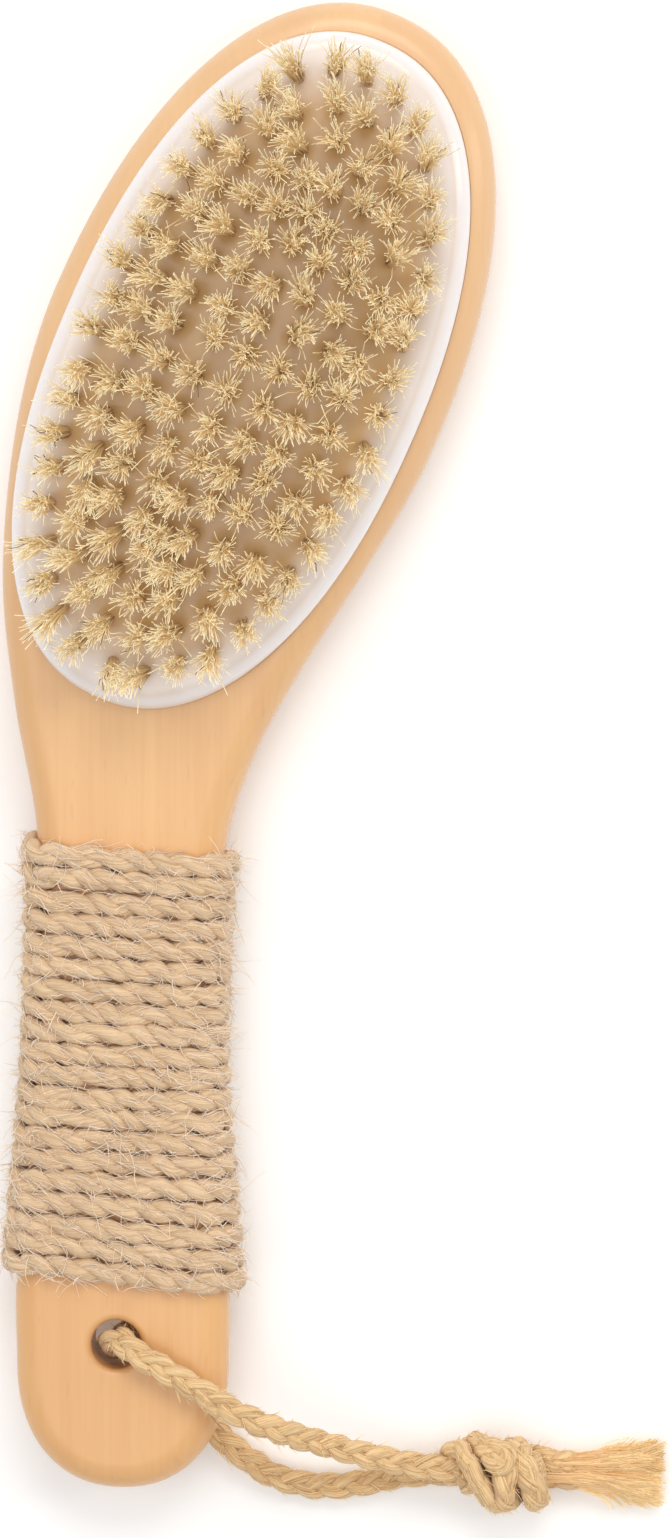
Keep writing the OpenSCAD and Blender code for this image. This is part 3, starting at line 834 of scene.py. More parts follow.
def fray_tree(hairs):
    """Opens each point into a lock of fibres. The point holds lock_run and lock_bow, its way to the end."""
    t = Tree("Frayed end")
    points = t.input("Points", "NodeSocketGeometry")
    count = t.input("Fibres", "NodeSocketInt", 60)
    root = t.input("Root size", "NodeSocketFloat", 0.5 * MM)
    spread = t.input("End size", "NodeSocketFloat", 1.2 * MM)
    thick = t.input("Thickness", "NodeSocketFloat", 0.2 * MM)
    seed = t.input("Seed", "NodeSocketInt", 1)
    material = t.input("Material", "NodeSocketMaterial")
    p = t.out("GeometryNodeDuplicateElements", {"Geometry": points, "Amount": count}, domain="POINT")
    start = t.scaled(t.random((-0.3, -1, -1), (0.3, 1, 1), seed), root)
    end = t.scaled(t.random((-1, -1, -0.6), (1, 1, 0.8), seed, 3), spread)
    short = t.math("POWER", t.random(0.0, 1.0, seed, 7), 3.0)
    share = t.math("SUBTRACT", 1.0, t.product(short, 0.3))
    run = t.scaled(t.named("lock_run", "FLOAT_VECTOR"), share)
    bow = t.vector("ADD", t.named("lock_bow", "FLOAT_VECTOR"), t.vector("SUBTRACT", end, start))
    root = t.vector("ADD", t.out("GeometryNodeInputPosition"), start)
    thick = t.product(thick, t.random(0.6, 1.4, seed, 9))
    tone = t.math("ADD", t.product(t.named("lock_tone"), 0.6), t.random(0.0, 0.4, seed, 11))
    p = t.as_hairs(p, root, run, bow, thick, tone)
    shape = {"Steps": 9, "Sides": 3, "Taper": 0.35, "Bend": 2.4, "Curl": 2.2 * MM}
    t.output("Fray", "NodeSocketGeometry", t.group(hairs, {"Points": p, "Material": material, **shape}))
    return t.tree


def tree_named(name, build, *needs):
    """The node tree of that name, built once."""
    return bpy.data.node_groups.get(name) or build(*needs)


def grown(name, mesh, tree, **inputs):
    """Runs a node tree on a mesh, and returns an object that shows the result as a plain mesh."""
    seedbed = place(name + "_seedbed", mesh)
    grow = seedbed.modifiers.new("grow", "NODES")
    grow.node_group = tree
    for item in tree.interface.items_tree:
        key = item.name.lower().replace(" ", "_")
        if item.in_out == "INPUT" and key in inputs:
            grow[item.identifier] = inputs[key]
    result = evaluated(seedbed)
    result.name = name
    return place(name, result)


# ---------------------------------------------------------------- materials


class Finish(Nodes):
    """A material with one Principled shader."""

    GROUP = "ShaderNodeGroup"

    def __init__(self, name):
        self.material = bpy.data.materials.new(name)
        self.material.use_nodes = True
        self.tree = self.material.node_tree
        self.shader = self.tree.nodes["Principled BSDF"]

    def where(self):
        return self.node("ShaderNodeTexCoord").outputs["Object"]

    def attribute(self, name, pick="Fac"):
        return self.node("ShaderNodeAttribute", attribute_name=name).outputs[pick]

    def mixed(self, factor, a, b):
        """The colour a turning into b as the factor goes from 0 to 1."""
        a, b = ((*shade, 1) if isinstance(shade, tuple) else shade for shade in (a, b))
        values = {0: factor, 6: a, 7: b}
        return self.node("ShaderNodeMix", values, data_type="RGBA", clamp_factor=True).outputs[2]

    def ramp(self, factor, stops):
        node = self.node("ShaderNodeValToRGB", {"Fac": factor})
        elements = node.color_ramp.elements
        while len(elements) < len(stops):
            elements.new(0.5)
        for element, (at, shade) in zip(elements, stops):
            element.position = at
            element.color = (*shade, 1)
        return node.outputs[0]

    def bump(self, height, distance, strength):
        return self.out("ShaderNodeBump", {"Height": height, "Distance": distance, "Strength": strength})

    def set(self, **values):
        for key, value in values.items():
            self.connect(self.shader.inputs[key.replace("_", " ")], value)
        return self.material


def streak_group():
    """Noise drawn out along fibres: low to high across them, slow along them."""
    t = Tree("Fibre streaks", "ShaderNodeTree")
    around = t.input("Around", "NodeSocketVector")
    arc = t.input("Arc", "NodeSocketFloat")
    fine = t.input("Fineness", "NodeSocketFloat", 4.0)
    stretch = t.input("Per metre", "NodeSocketFloat", 120.0)
    twist = t.input("Twist per metre", "NodeSocketFloat", 300.0)
    values = {"Vector": around, "Axis": (0, 0, 1), "Angle": t.product(arc, twist)}
    turned = t.scaled(t.out("ShaderNodeVectorRotate", values), fine)
    drawn = t.vector("ADD", turned, t.out("ShaderNodeCombineXYZ", {"Z": t.product(arc, stretch)}))
    t.output("Streaks", "NodeSocketFloat", t.noise(drawn, Detail=3.0, Roughness=0.65).outputs[0])
    return t.tree


def grain_group():
    """Wood grain along Y: broad bands, fine lines and short flecks."""
    t = Tree("Wood grain", "ShaderNodeTree")
    where = t.input("Vector", "NodeSocketVector")
    bands = t.noise(t.stretched(where, (70, 5, 45)), Detail=3.0, Roughness=0.55, Distortion=0.4)
    lines = t.noise(t.stretched(where, (1100, 32, 700)), Detail=3.0, Roughness=0.6)
    flecks = t.noise(t.stretched(where, (900, 170, 900)), Detail=1.0, Roughness=0.4)
    t.output("Bands", "NodeSocketFloat", bands.outputs[0])
    t.output("Lines", "NodeSocketFloat", lines.outputs[0])
    t.output("Flecks", "NodeSocketFloat", t.ranged(flecks.outputs[0], 0.66, 0.76))
    return t.tree


def wood_finish(colours):
    f = Finish("sanded_wood")
    where = f.where()
    grain = tree_named("Wood grain", grain_group)
    bands, lines, flecks = (f.group(grain, {"Vector": where}, mask) for mask in ("Bands", "Lines", "Flecks"))
    wood, dark, pale = (tuple(shade) for shade in (colours.wood, colours.wood_dark, colours.wood_pale))
    broad = f.ranged(bands, 0.35, 0.65, to_high=0.6)
    fine = f.ranged(lines, 0.42, 0.72, to_high=0.34)
    shade = f.mixed(broad, wood, dark)
    shade = f.mixed(fine, shade, dark)
    fleck = f.out("ShaderNodeMath", {0: flecks, 1: 0.13}, operation="MULTIPLY")
    shade = f.mixed(fleck, shade, tuple(0.62 * c for c in dark))
    rough = f.ranged(lines, to_low=0.42, to_high=0.6)
    normal = f.bump(lines, 0.05 * MM, 0.35)
    down = f.node("ShaderNodeSeparateXYZ", {"Vector": where}).outputs["Y"]
    # The wood grows darker towards the butt.
    darker_to_butt = f.ranged(down, -0.126, -0.06, 0.3, 0.0)
    shade = f.mixed(darker_to_butt, shade, dark)
    paler = f.ranged(down, -0.03, 0.05, to_high=0.5)
    shade = f.mixed(paler, shade, pale)
    return f.set(
        Base_Color=shade,
        Roughness=rough,
        Normal=normal,
        Specular_IOR_Level=0.4,
        Coat_Weight=0.5,
        Coat_Roughness=0.2,
    )


def pad_finish(colours):
    f = Finish("milky_cushion")
    inward = f.attribute("inward")
    where = f.where()
    mottle = f.out("ShaderNodeTexNoise", {"Vector": where, "Scale": 160.0, "Detail": 2.0}, pick=0)
    shift = f.out("ShaderNodeMath", {0: mottle, 1: 0.1, 2: -0.05}, operation="MULTIPLY_ADD")
    deep = f.out("ShaderNodeMath", {0: inward, 1: shift}, operation="ADD")
    edge, middle = tuple(colours.pad_edge), tuple(colours.pad_middle)
    between = tuple(mix(a, b, 0.5) for a, b in zip(edge, middle))
    darkest_painted_shade = tuple(0.86 * c for c in middle)
    # Painted shade: the colour darkens from the milky edge inwards, where the tufts shade the pad and show through
    # it.
    shade = f.ramp(deep, [(0.0, edge), (0.16, edge), (0.4, between), (0.62, middle), (1.0, darkest_painted_shade)])
    return f.set(
        Base_Color=shade,
        Roughness=0.33,
        Subsurface_Weight=0.25,
        Subsurface_Radius=(1.0, 0.75, 0.55),
        Subsurface_Scale=2.5 * MM,
        Coat_Weight=0.7,
        Coat_Roughness=0.14,
        Normal=f.bump(mottle, 0.15 * MM, 0.3),
    )


def bristle_finish(colours):
    f = Finish("natural_bristle")
    along = f.attribute("along")
    tone = f.attribute("tone")
    shade = f.ramp(along, [
        (0.0, tuple(colours.bristle_root)),
        (0.3, tuple(mix(a, b, 0.6) for a, b in zip(colours.bristle_root, colours.bristle))),
        (0.75, tuple(colours.bristle)),
        (1.0, tuple(colours.bristle_tip)),
    ])
    varied = f.ranged(tone, to_low=0.8, to_high=1.05)
    tinted = f.scaled(shade, varied)
    dark = f.ranged(tone, 0.978, 0.982, to_high=0.95)
    shade = f.mixed(dark, tinted, tuple(colours.bristle_dark))
    return f.set(
        Base_Color=shade,
        Roughness=0.5,
        Specular_IOR_Level=0.4,
        # Painted light: the bristles glow in their own colour, to stand in for light passing through them.
        Emission_Color=shade,
        Emission_Strength=0.26,
    )


def fibre_finish(name, light, dark, fineness, per_metre, twist, gap, depth):
    """Twisted plant fibre: streaks along the strand, and painted shade in hollows narrower than the gap, darker by
    the depth.
    """
    f = Finish(name)
    around = f.attribute("around", "Vector")
    arc = f.attribute("arc")
    tone = f.attribute("tone")
    streaks = tree_named("Fibre streaks", streak_group)
    along = {"Around": around, "Arc": arc, "Twist per metre": twist}
    fine = f.group(streaks, {**along, "Fineness": fineness, "Per metre": per_metre})
    broad = f.group(streaks, {**along, "Fineness": fineness / 3, "Per metre": per_metre / 2.5})
    # Dark streaks: partly darker fibres, partly painted shade between the fibres.
    lines = f.ranged(fine, 0.36, 0.62, 0.75, 0.0)
    shade = f.mixed(lines, tuple(light), tuple(dark))
    patch = f.ranged(broad, 0.35, 0.65, to_high=0.45)
    shade = f.mixed(patch, shade, tuple(min(1, 1.06 * c) for c in light))
    varied = f.ranged(tone, to_low=0.9, to_high=1.06)
    shade = f.scaled(shade, varied)
    # Painted shade: occlusion darkens the colour in the creases and hollows between fibres, strands and turns.
    corner = f.node("ShaderNodeAmbientOcclusion", {"Distance": gap}, samples=6).outputs["AO"]
    painted_hollow_shade = f.ranged(corner, 0.15, 0.85, depth, 0.0)
    shade = f.mixed(painted_hollow_shade, shade, tuple(0.9 * c for c in dark))
    return f.set(
        Base_Color=shade,
        Roughness=0.78,
        Sheen_Weight=0.25,
        Sheen_Roughness=0.5,
        Specular_IOR_Level=0.25,
        Normal=f.bump(fine, 0.22 * MM, 0.9),
    )


def loose_fibre_finish(name, light):
    f = Finish(name)
    varied = f.ranged(f.attribute("tone"), to_low=0.8, to_high=1.1)
    base = f.mixed(f.attribute("along"), tuple(0.85 * c for c in light), tuple(min(1, 1.08 * c) for c in light))
    shade = f.scaled(base, varied)
    # Painted light: the loose fibres glow a little in their own colour, to lift their shaded sides.
    return f.set(Base_Color=shade, Roughness=0.6, Emission_Color=shade, Emission_Strength=0.15)


def adhesive_finish():
    f = Finish("dried_adhesive")
    where = f.where()
    blots = f.out("ShaderNodeTexNoise", {"Vector": where, "Scale": 220.0, "Detail": 4.0}, pick=0)
    shade = f.mixed(blots, linear(206, 190, 152), linear(232, 222, 194))
    return f.set(Base_Color=shade, Roughness=0.5, Normal=f.bump(blots, 0.1 * MM, 0.5))


def anchor_finish():
    f = Finish("stamped_steel")
    where = f.where()
    brushed = f.out("ShaderNodeMapping", {"Vector": where, "Scale": (400, 6000, 6000)})
    scratches = f.out("ShaderNodeTexNoise", {"Vector": brushed, "Scale": 1.0, "Detail": 2.0}, pick=0)
    rough = f.ranged(scratches, to_low=0.25, to_high=0.45)
    shade = f.mixed(scratches, linear(176, 176, 180), linear(206, 206, 208))
    return f.set(Base_Color=shade, Metallic=1.0, Roughness=rough)


def floor_finish():
    f = Finish("pale_floor")
    where = f.where()
    faint = f.out("ShaderNodeTexNoise", {"Vector": where, "Scale": 3.0, "Detail": 2.0}, pick=0)
    shade = f.mixed(faint, (0.96, 0.96, 0.96), (0.975, 0.975, 0.975))
    return f.set(
        Base_Color=shade,
        Roughness=0.9,
        Specular_IOR_Level=0.1,
        Emission_Color=shade,
        Emission_Strength=0.07,
    )


# ---------------------------------------------------------------- operators

BRUSH = "brush"
LOOP = "hang_loop"

# The cord's route from the middle of the hole, in millimetres: sideways, lengthways and height
FRONT_ROUTE = [
    (0.8, 0.9, 12), (0.8, 0.9, 14), (0.8, 0.9, 16), (1.2, 0.7, 18.4), (2.8, -0.2, 20.6),
    (5.2, -1.6, 21.4), (9.4, -4, 21.3), (14.6, -7.2, 21.2), (18.4, -9.6, 21.1), (22.8, -12, 20.3),
    (26.8, -14, 18.3), (31, -16, 15.4), (37, -18.4, 11.9), (43, -20.4, 9.6), (48, -21.6, 8.8),
    (53, -22.4, 8.6), (59, -22.8, 8.6),
]
REAR_ROUTE = [
    (0.8, 0.9, 12), (0.8, 0.9, 10), (0.8, 0.9, 8), (1.1, 0.4, 5.6), (2.4, -1.4, 3.6),
    (4.6, -4.2, 3), (8, -8.4, 2.9), (12, -13.2, 2.9), (16, -17.6, 2.9), (20.4, -21.6, 2.9),
    (25.4, -25, 2.9), (31, -26.8, 2.9), (37, -27, 2.9), (43, -26.2, 2.9), (48, -25.2, 2.9),
    (53, -24.6, 3), (59, -24.4, 3.2),
]
KNOT_AT = (65.4, -23.6)

# Radius and route of the slack plies inside the hole, and of one stiff straw across the strands
SLACK = [
    (1.15 * MM, [
        (2.6, 0.4, 5), (-0.6, -1.4, 7.5), (-2.4, -1.1, 11), (-2.3, 0.3, 14.5), (-1.0, 1.5, 17.4), (1.6, 1.0, 18.8),
    ]),
    (1.05 * MM, [
        (3.0, -0.6, 5.5), (0.9, -2.5, 8), (-1.0, -2.6, 11), (-1.8, -1.0, 14), (-0.6, 0.2, 17), (2.4, 0.0, 18.6),
    ]),
    (0.14 * MM, [(14.5, -9.2, 19.5), (16.5, -12.2, 18.6), (18.6, -15.2, 16.0)]),
]

# The cords' routes through the knot, from its middle, for the knot's usual size
KNOT_USUAL = (18.4 * MM, 13.6 * MM)
KNOT_FRONT = np.array([
    (-8.6, 2.4, 0.2), (-7.0, 4.0, 2.0), (-5.6, 2.9, 4.2), (-4.2, 0.5, 4.9), (-2.7, -2.2, 4.4), (-1.3, -4.5, 2.2),
    (-0.4, -4.5, -1.4), (0.4, -2.4, -3.9), (1.2, 0.8, -4.2), (2.0, 3.6, -2.8), (2.9, 4.2, 0.3), (3.6, 2.9, 3.5),
    (4.7, 0.4, 4.6), (5.8, -2.3, 4.0), (6.3, -4.6, 1.4), (5.9, -4.2, -1.9), (5.4, -1.8, -3.4), (7.0, -0.9, -2.9),
    (9.5, -1.0, -2.5), (13.0, -1.2, -2.7),
]) * MM
KNOT_REAR = np.array([
    (-9.0, -0.9, -3.2), (-7.6, 0.2, -3.9), (-6.2, 2.4, -3.6), (-4.9, 4.4, -1.6), (-3.7, 4.8, 1.0), (-2.2, 4.3, 3.4),
    (-0.3, 3.6, 4.7), (1.0, 2.0, 5.2), (0.9, -0.2, 5.2), (0.6, -2.4, 4.4), (1.2, -4.6, 1.9), (2.2, -4.4, -1.6),
    (2.9, -2.4, -4.0), (3.8, 0.4, -4.2), (5.2, 1.9, -3.2), (7.0, 1.9, -2.2), (9.5, 1.0, -2.0), (13.0, 1.1, -2.5),
]) * MM
KNOT_HOOK = np.array([
    (-3.6, 4.2, 1.8), (-2.0, 5.0, 3.4), (0.2, 4.8, 4.4), (1.3, 3.5, 5.4), (0.4, 2.5, 6.2), (-1.0, 2.8, 6.2),
    (-1.6, 3.7, 5.2),
]) * MM


class DRYBRUSH_OT_camera(bpy.types.Operator):
    """Stand the camera over the brush, a little towards its crown and its right side"""

    bl_idname = "drybrush.camera"
    bl_label = "Camera"

    AIM = Vector((14.6, -2.97, 9.0)) * MM
    TILT_RIGHT = math.radians(2.5)
    TILT_UP = math.radians(5)
    DISTANCE = 1.0
    PICTURE = (671, 1538)
    PICTURE_SPAN = 261.6 * MM

    def execute(self, context):
        away = Vector((math.tan(self.TILT_RIGHT), math.tan(self.TILT_UP), 1)).normalized()
        up = (Vector((0, 1, 0)) - away * away.y).normalized()
        right = up.cross(away)
        camera = bpy.data.cameras.new("camera")
        camera.sensor_fit = "VERTICAL"
        camera.sensor_height = 36
        camera.sensor_width = camera.sensor_height * self.PICTURE[0] / self.PICTURE[1]
        camera.lens = camera.sensor_height * self.DISTANCE / self.PICTURE_SPAN
        obj = bpy.data.objects.new("camera", camera)
        context.scene.collection.objects.link(obj)
        turn = Matrix((right, up, away)).transposed().to_4x4()
        obj.matrix_world = Matrix.Translation(self.AIM + away * self.DISTANCE) @ turn
        context.scene.camera = obj
        return {"FINISHED"}


def plait_strands(path, up, half_width, half_depth, wave, phase=0.0):
    """Centre lines of three strands that plait along a path."""
    _, across, ups = path_frames(path, up)
    run = run_along(path)
    strands = []
    for k in range(3):
        q = 2 * math.pi * (run / wave + k / 3) + phase
        aside = across * (half_width * np.sin(q))[:, None]
        strands.append(path + aside + ups * (half_depth * np.sin(2 * q))[:, None])
    return strands


def add_plait(maker, path, up, width, wave, phase=0.0, sides=10, seed=0, firm=0.26):
    """Adds a three-strand plait of that width along a path. The firmer it is, the fatter its strands."""
    noise = np.random.default_rng(seed)
    radius = firm * width
    strands = plait_strands(path, up, width / 2 - radius, 0.36 * (width / 2 - radius), wave, phase)
    for k, strand in enumerate(strands):
        slow = np.interp(np.arange(len(strand)), np.linspace(0, len(strand), 24), noise.uniform(0.92, 1.1, 24))
        maker.tube(strand, radius * slow, sides, tone=float(noise.uniform(0.2, 0.8)), up=up, arc_start=0.31 * k)


class DRYBRUSH_OT_cords(bpy.types.Operator):
    """Plait the hanging cord: its front strand, its rear strand, the knot and the frayed tail"""

    bl_idname = "drybrush.cords"
    bl_label = "Hanging cord"

    # Width of the plait against the cord's diameter, along the cord and in the knot
    PLAIT_SHARE = 0.86
    KNOT_SHARE = 0.88
    STRAND_FUZZ = 420000
    KNOT_FUZZ = 380000
    LOCKS = 44

    def execute(self, context):
        body = BodyShape()
        sizes = context.scene.brush_cord
        colours = context.scene.brush_finishes
        # gap and depth set the reach and darkness of the painted shade in the cord's creases.
        self.finish = fibre_finish(
            "plaited_fibre", colours.cord, colours.cord_dark,
            fineness=5.5, per_metre=90, twist=260, gap=1.6 * MM, depth=0.85,
        )
        self.loose = loose_fibre_finish("loose_cord_fibre", colours.cord)
        self.hairs = tree_named("Tapered hairs", hair_tree)
        self.base = np.array([body.hole_at[0], body.hole_at[1], 0])
        self.knot_at = self.base + np.array([KNOT_AT[0] * MM, KNOT_AT[1] * MM, sizes.knot_d / 2 + FLOOR_GAP])
        front, front_path, front_fuzz = self.strand("front", FRONT_ROUTE, sizes, 3)
        rear, rear_path, rear_fuzz = self.strand("rear", REAR_ROUTE, sizes, 4)
        slack = self.slack()
        knot = self.knot(sizes, front_path[-1], rear_path[-1])
        knot_fuzz = self.fuzz("knot_fuzz", knot.data, self.KNOT_FUZZ, 27)
        tail = self.tail(sizes)
        stands_for = {"hang_cord_front": front, "hang_cord_rear": rear, "cord_knot": knot, "cord_tail": tail}
        for node, piece in stands_for.items():
            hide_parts(node)
        for piece in (front, rear, slack, knot, tail, front_fuzz, rear_fuzz, knot_fuzz):
            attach(piece, LOOP)
        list(body.hole_at)
        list(body.hole_at)
        return {"FINISHED"}

    def strand(self, name, route, sizes, seed):
        path = even_path(smooth_path(self.base + np.array(route) * MM, 8), 0.5 * MM)
        maker = MeshMaker()
        add_plait(maker, path, (0, 0, 1), self.PLAIT_SHARE * sizes.diameter, sizes.wave, seed, 10, seed)
        piece = place(f"cord_{name}", maker.mesh(f"cord_{name}"), self.finish)
        fuzz = self.fuzz(f"cord_{name}_fuzz", piece.data, self.STRAND_FUZZ, seed)
        return piece, path, fuzz

    def slack(self):
        """Slack plies of the cord inside the hole, and a straw that stands across the strands."""
        maker = MeshMaker()
        for radius, route in SLACK:
            path = even_path(smooth_path(self.base + np.array(route) * MM, 8), 0.4 * MM)
            maker.tube(path, radius, 8, tone=0.1)
        return place("cord_slack_plies", maker.mesh("cord_slack_plies"), self.finish)

    def fuzz(self, name, mesh, density, seed):
        """Loose fibres over the cord, most of them combed along it."""
        tree = tree_named("Loose fibres", fuzz_tree, self.hairs)
        return grown(
            name, mesh.copy(), tree, density=float(density), length=3.5 * MM, lift=0.35 * MM,
            thickness=0.18 * MM, combed=0.72, seed=seed, material=self.loose,
        )

    def knot(self, sizes, front_end, rear_end):
        """The two cords tied round each other. Their routes are scaled to the size of the knot."""
        maker = MeshMaker()
        thicker = sizes.knot_d / KNOT_USUAL[1]
        grow = np.array([sizes.knot_len / KNOT_USUAL[0], thicker, thicker])
        cord_w = self.KNOT_SHARE * sizes.diameter
        for k, (entry, route) in enumerate(((front_end, KNOT_FRONT), (rear_end, KNOT_REAR))):
            points = np.vstack([entry, self.knot_at + np.array(route) * grow])
            path = even_path(smooth_path(points, 10), 0.4 * MM)
            add_plait(maker, path, (0, 0.3, 1), cord_w, 0.8 * sizes.wave, k, 10, 40 + k, 0.33)
        hook = self.knot_at + np.array(KNOT_HOOK) * grow
        path = even_path(smooth_path(hook, 10), 0.4 * MM)
        add_plait(maker, path, (0, 0, 1), 0.8 * cord_w, 0.6 * sizes.wave, 1, 9, 44, 0.34)
        core = self.knot_at + np.array([(-6.5, 0, -0.6), (0, 0, 0), (6.5, -0.3, -0.6)]) * MM
        maker.tube(even_path(core, 1 * MM), 0.29 * sizes.knot_d, 16, tone=0.1)
        return place("cord_knot_tied", maker.mesh("cord_knot_tied"), self.finish)

    def tail(self, sizes):
        """The frayed ends of both cords: locks of fibre that part from each other over the surface."""
        noise = np.random.default_rng(6)
        locks = self.LOCKS
        start = self.knot_at + np.array([sizes.knot_len / 2 - 3.4 * MM, 0, -2.2 * MM])
        turn = noise.uniform(0, 2 * math.pi, locks)
        out = np.sqrt(noise.uniform(0, 1, locks))
        across, rise = out * np.cos(turn), out * np.sin(turn)
        roots = start + np.column_stack([noise.uniform(-1, 1, locks) * MM, 2.3 * MM * across, 2.0 * MM * rise])
        end_y = -0.9 * MM + across * 0.5 * sizes.fray_d
        end_z = 3.3 * MM + rise * 2.3 * MM
        reach = (sizes.tail_len + 1.8 * MM) * noise.uniform(0.84, 1.0, locks)
        ends = np.column_stack([start[0] + reach, self.knot_at[1] + end_y, end_z])
        seedbed = bpy.data.meshes.new("tail_root")
        seedbed.from_pydata(roots.tolist(), [], [])
        straight = np.column_stack([reach, 0.1 * (ends - roots)[:, 1:]])
        write_attribute(seedbed, "lock_run", "FLOAT_VECTOR", straight)
        write_attribute(seedbed, "lock_bow", "FLOAT_VECTOR", ends - roots - straight)
        write_attribute(seedbed, "lock_tone", "FLOAT", noise.uniform(0, 1, locks))
        return grown(
            "cord_tail_frayed", seedbed, tree_named("Frayed end", fray_tree, self.hairs),
            fibres=60, root_size=0.6 * MM, end_size=0.95 * MM, thickness=0.2 * MM, seed=5,
            material=self.loose_tail(),
        )

    def loose_tail(self):
        colours = bpy.context.scene.brush_finishes
        f = Finish("frayed_fibre")
        root, tip = tuple(colours.cord_dark), tuple(colours.cord)
        start = tuple(mix(a, b, 0.75) for a, b in zip(root, tip))
        shade = f.ramp(f.attribute("along"), [(0.0, start), (0.4, tip), (1.0, tuple(colours.frayed))])
        brown = f.ranged(f.attribute("tone"), high=0.8, to_low=0.85, to_high=0.0)
        shade = f.mixed(brown, shade, tuple(mix(a, b, 0.4) for a, b in zip(root, tip)))
        # Painted light: the frayed fibres glow a little in their own colour, to lift their shaded sides.
        return f.set(Base_Color=shade, Roughness=0.6, Emission_Color=shade, Emission_Strength=0.2)


class DRYBRUSH_OT_body(bpy.types.Operator):
    """Shape the wooden body with its rounded edges, the recess for the pad and the hanging hole"""

    bl_idname = "drybrush.body"
    bl_label = "Wooden body"

    EDGE_STEPS = 12
    RECESS_SIDES = 160
    HOLE_SIDES = 64

    # How far a cutter stands past the wood
    PAST = 3 * MM

    def execute(self, context):
        shape = BodyShape()
        blank = place("blank", self.blank(shape))
        mesh = without(blank, [self.recess_cutter(shape), self.hole_cutter(shape)])
        wood = place("body_wood", mesh, wood_finish(context.scene.brush_finishes))
        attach(wood, BRUSH)
        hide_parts("brush_body")
        return {"FINISHED"}

    def blank(self, shape):
        s = shape.sizes
        rows = shape.rows
        last = len(rows) - 1
        row_of = np.concatenate([np.arange(last + 1), np.arange(last - 1, 0, -1)])
        edge = np.vstack([shape.side(rows, 1), shape.side(rows, -1)[last - 1 : 0 : -1]])
        tangent = unit(np.roll(edge, -1, axis=0) - np.roll(edge, 1, axis=0))
        outward = np.stack([tangent[:, 1], -tangent[:, 0]], axis=1)
        back = shape.back_z(rows[row_of, 1])
        rings = []
        for q in np.linspace(0, math.pi / 2, self.EDGE_STEPS):
            flat = edge - outward * s.edge_r * (1 - math.sin(q))
            rings.append(np.column_stack([flat, back + s.edge_r * (1 - math.cos(q))]))
        for q in np.linspace(math.pi / 2, 0, self.EDGE_STEPS):
            flat = edge - outward * s.edge_r * (1 - math.sin(q))
            rings.append(np.column_stack([flat, np.full(len(edge), s.head_t - s.edge_r * (1 - math.cos(q)))]))
        count = len(edge)
        ladder = [(i + 1, i, (count - i) % count, count - i - 1) for i in range(1, last - 1)]
        ladder += [(1, 0, count - 1), (last, last - 1, last + 1)]
        return stack_of_rings("blank", rings, ladder, None)

    def recess_cutter(self, shape):
        pad = PadShape(shape)
        s = shape.sizes
        lip = s.lip_round
        levels = [(0, s.head_t - pad.sizes.recess_d)]
        for q in np.linspace(0, math.pi / 2, 5):
            levels.append((-lip * (1 - math.cos(q)), s.head_t - lip * (1 - math.sin(q))))
        levels.append((-lip, s.head_t + self.PAST))
        n = self.RECESS_SIDES
        rings = [shape.on_head(np.column_stack([pad.oval(inset, n), np.full(n, z)])) for inset, z in levels]
        return place("recess_cutter", stack_of_rings("recess_cutter", rings, None, None))

    def hole_cutter(self, shape):
        s = shape.sizes
        low = shape.back_z(shape.hole_at[1])
        soft = s.hole_round
        bend = np.linspace(0, math.pi / 2, 7)
        levels = [(s.hole_d / 2 + soft, low - self.PAST)]
        levels += [(s.hole_d / 2 + soft * (1 - math.sin(q)), low + soft * (1 - math.cos(q))) for q in bend]
        for q in np.linspace(math.pi / 2, 0, 7):
            levels.append((s.hole_d / 2 + soft * (1 - math.sin(q)), s.head_t - soft * (1 - math.cos(q))))
        levels.append((s.hole_d / 2 + soft, s.head_t + self.PAST))
        q = np.linspace(0, 2 * math.pi, self.HOLE_SIDES, endpoint=False)
        x, y = shape.hole_at
        rings = [np.column_stack([x + r * np.cos(q), y + r * np.sin(q), np.full(len(q), z)]) for r, z in levels]
        return place("hole_cutter", stack_of_rings("hole_cutter", rings, None, None))


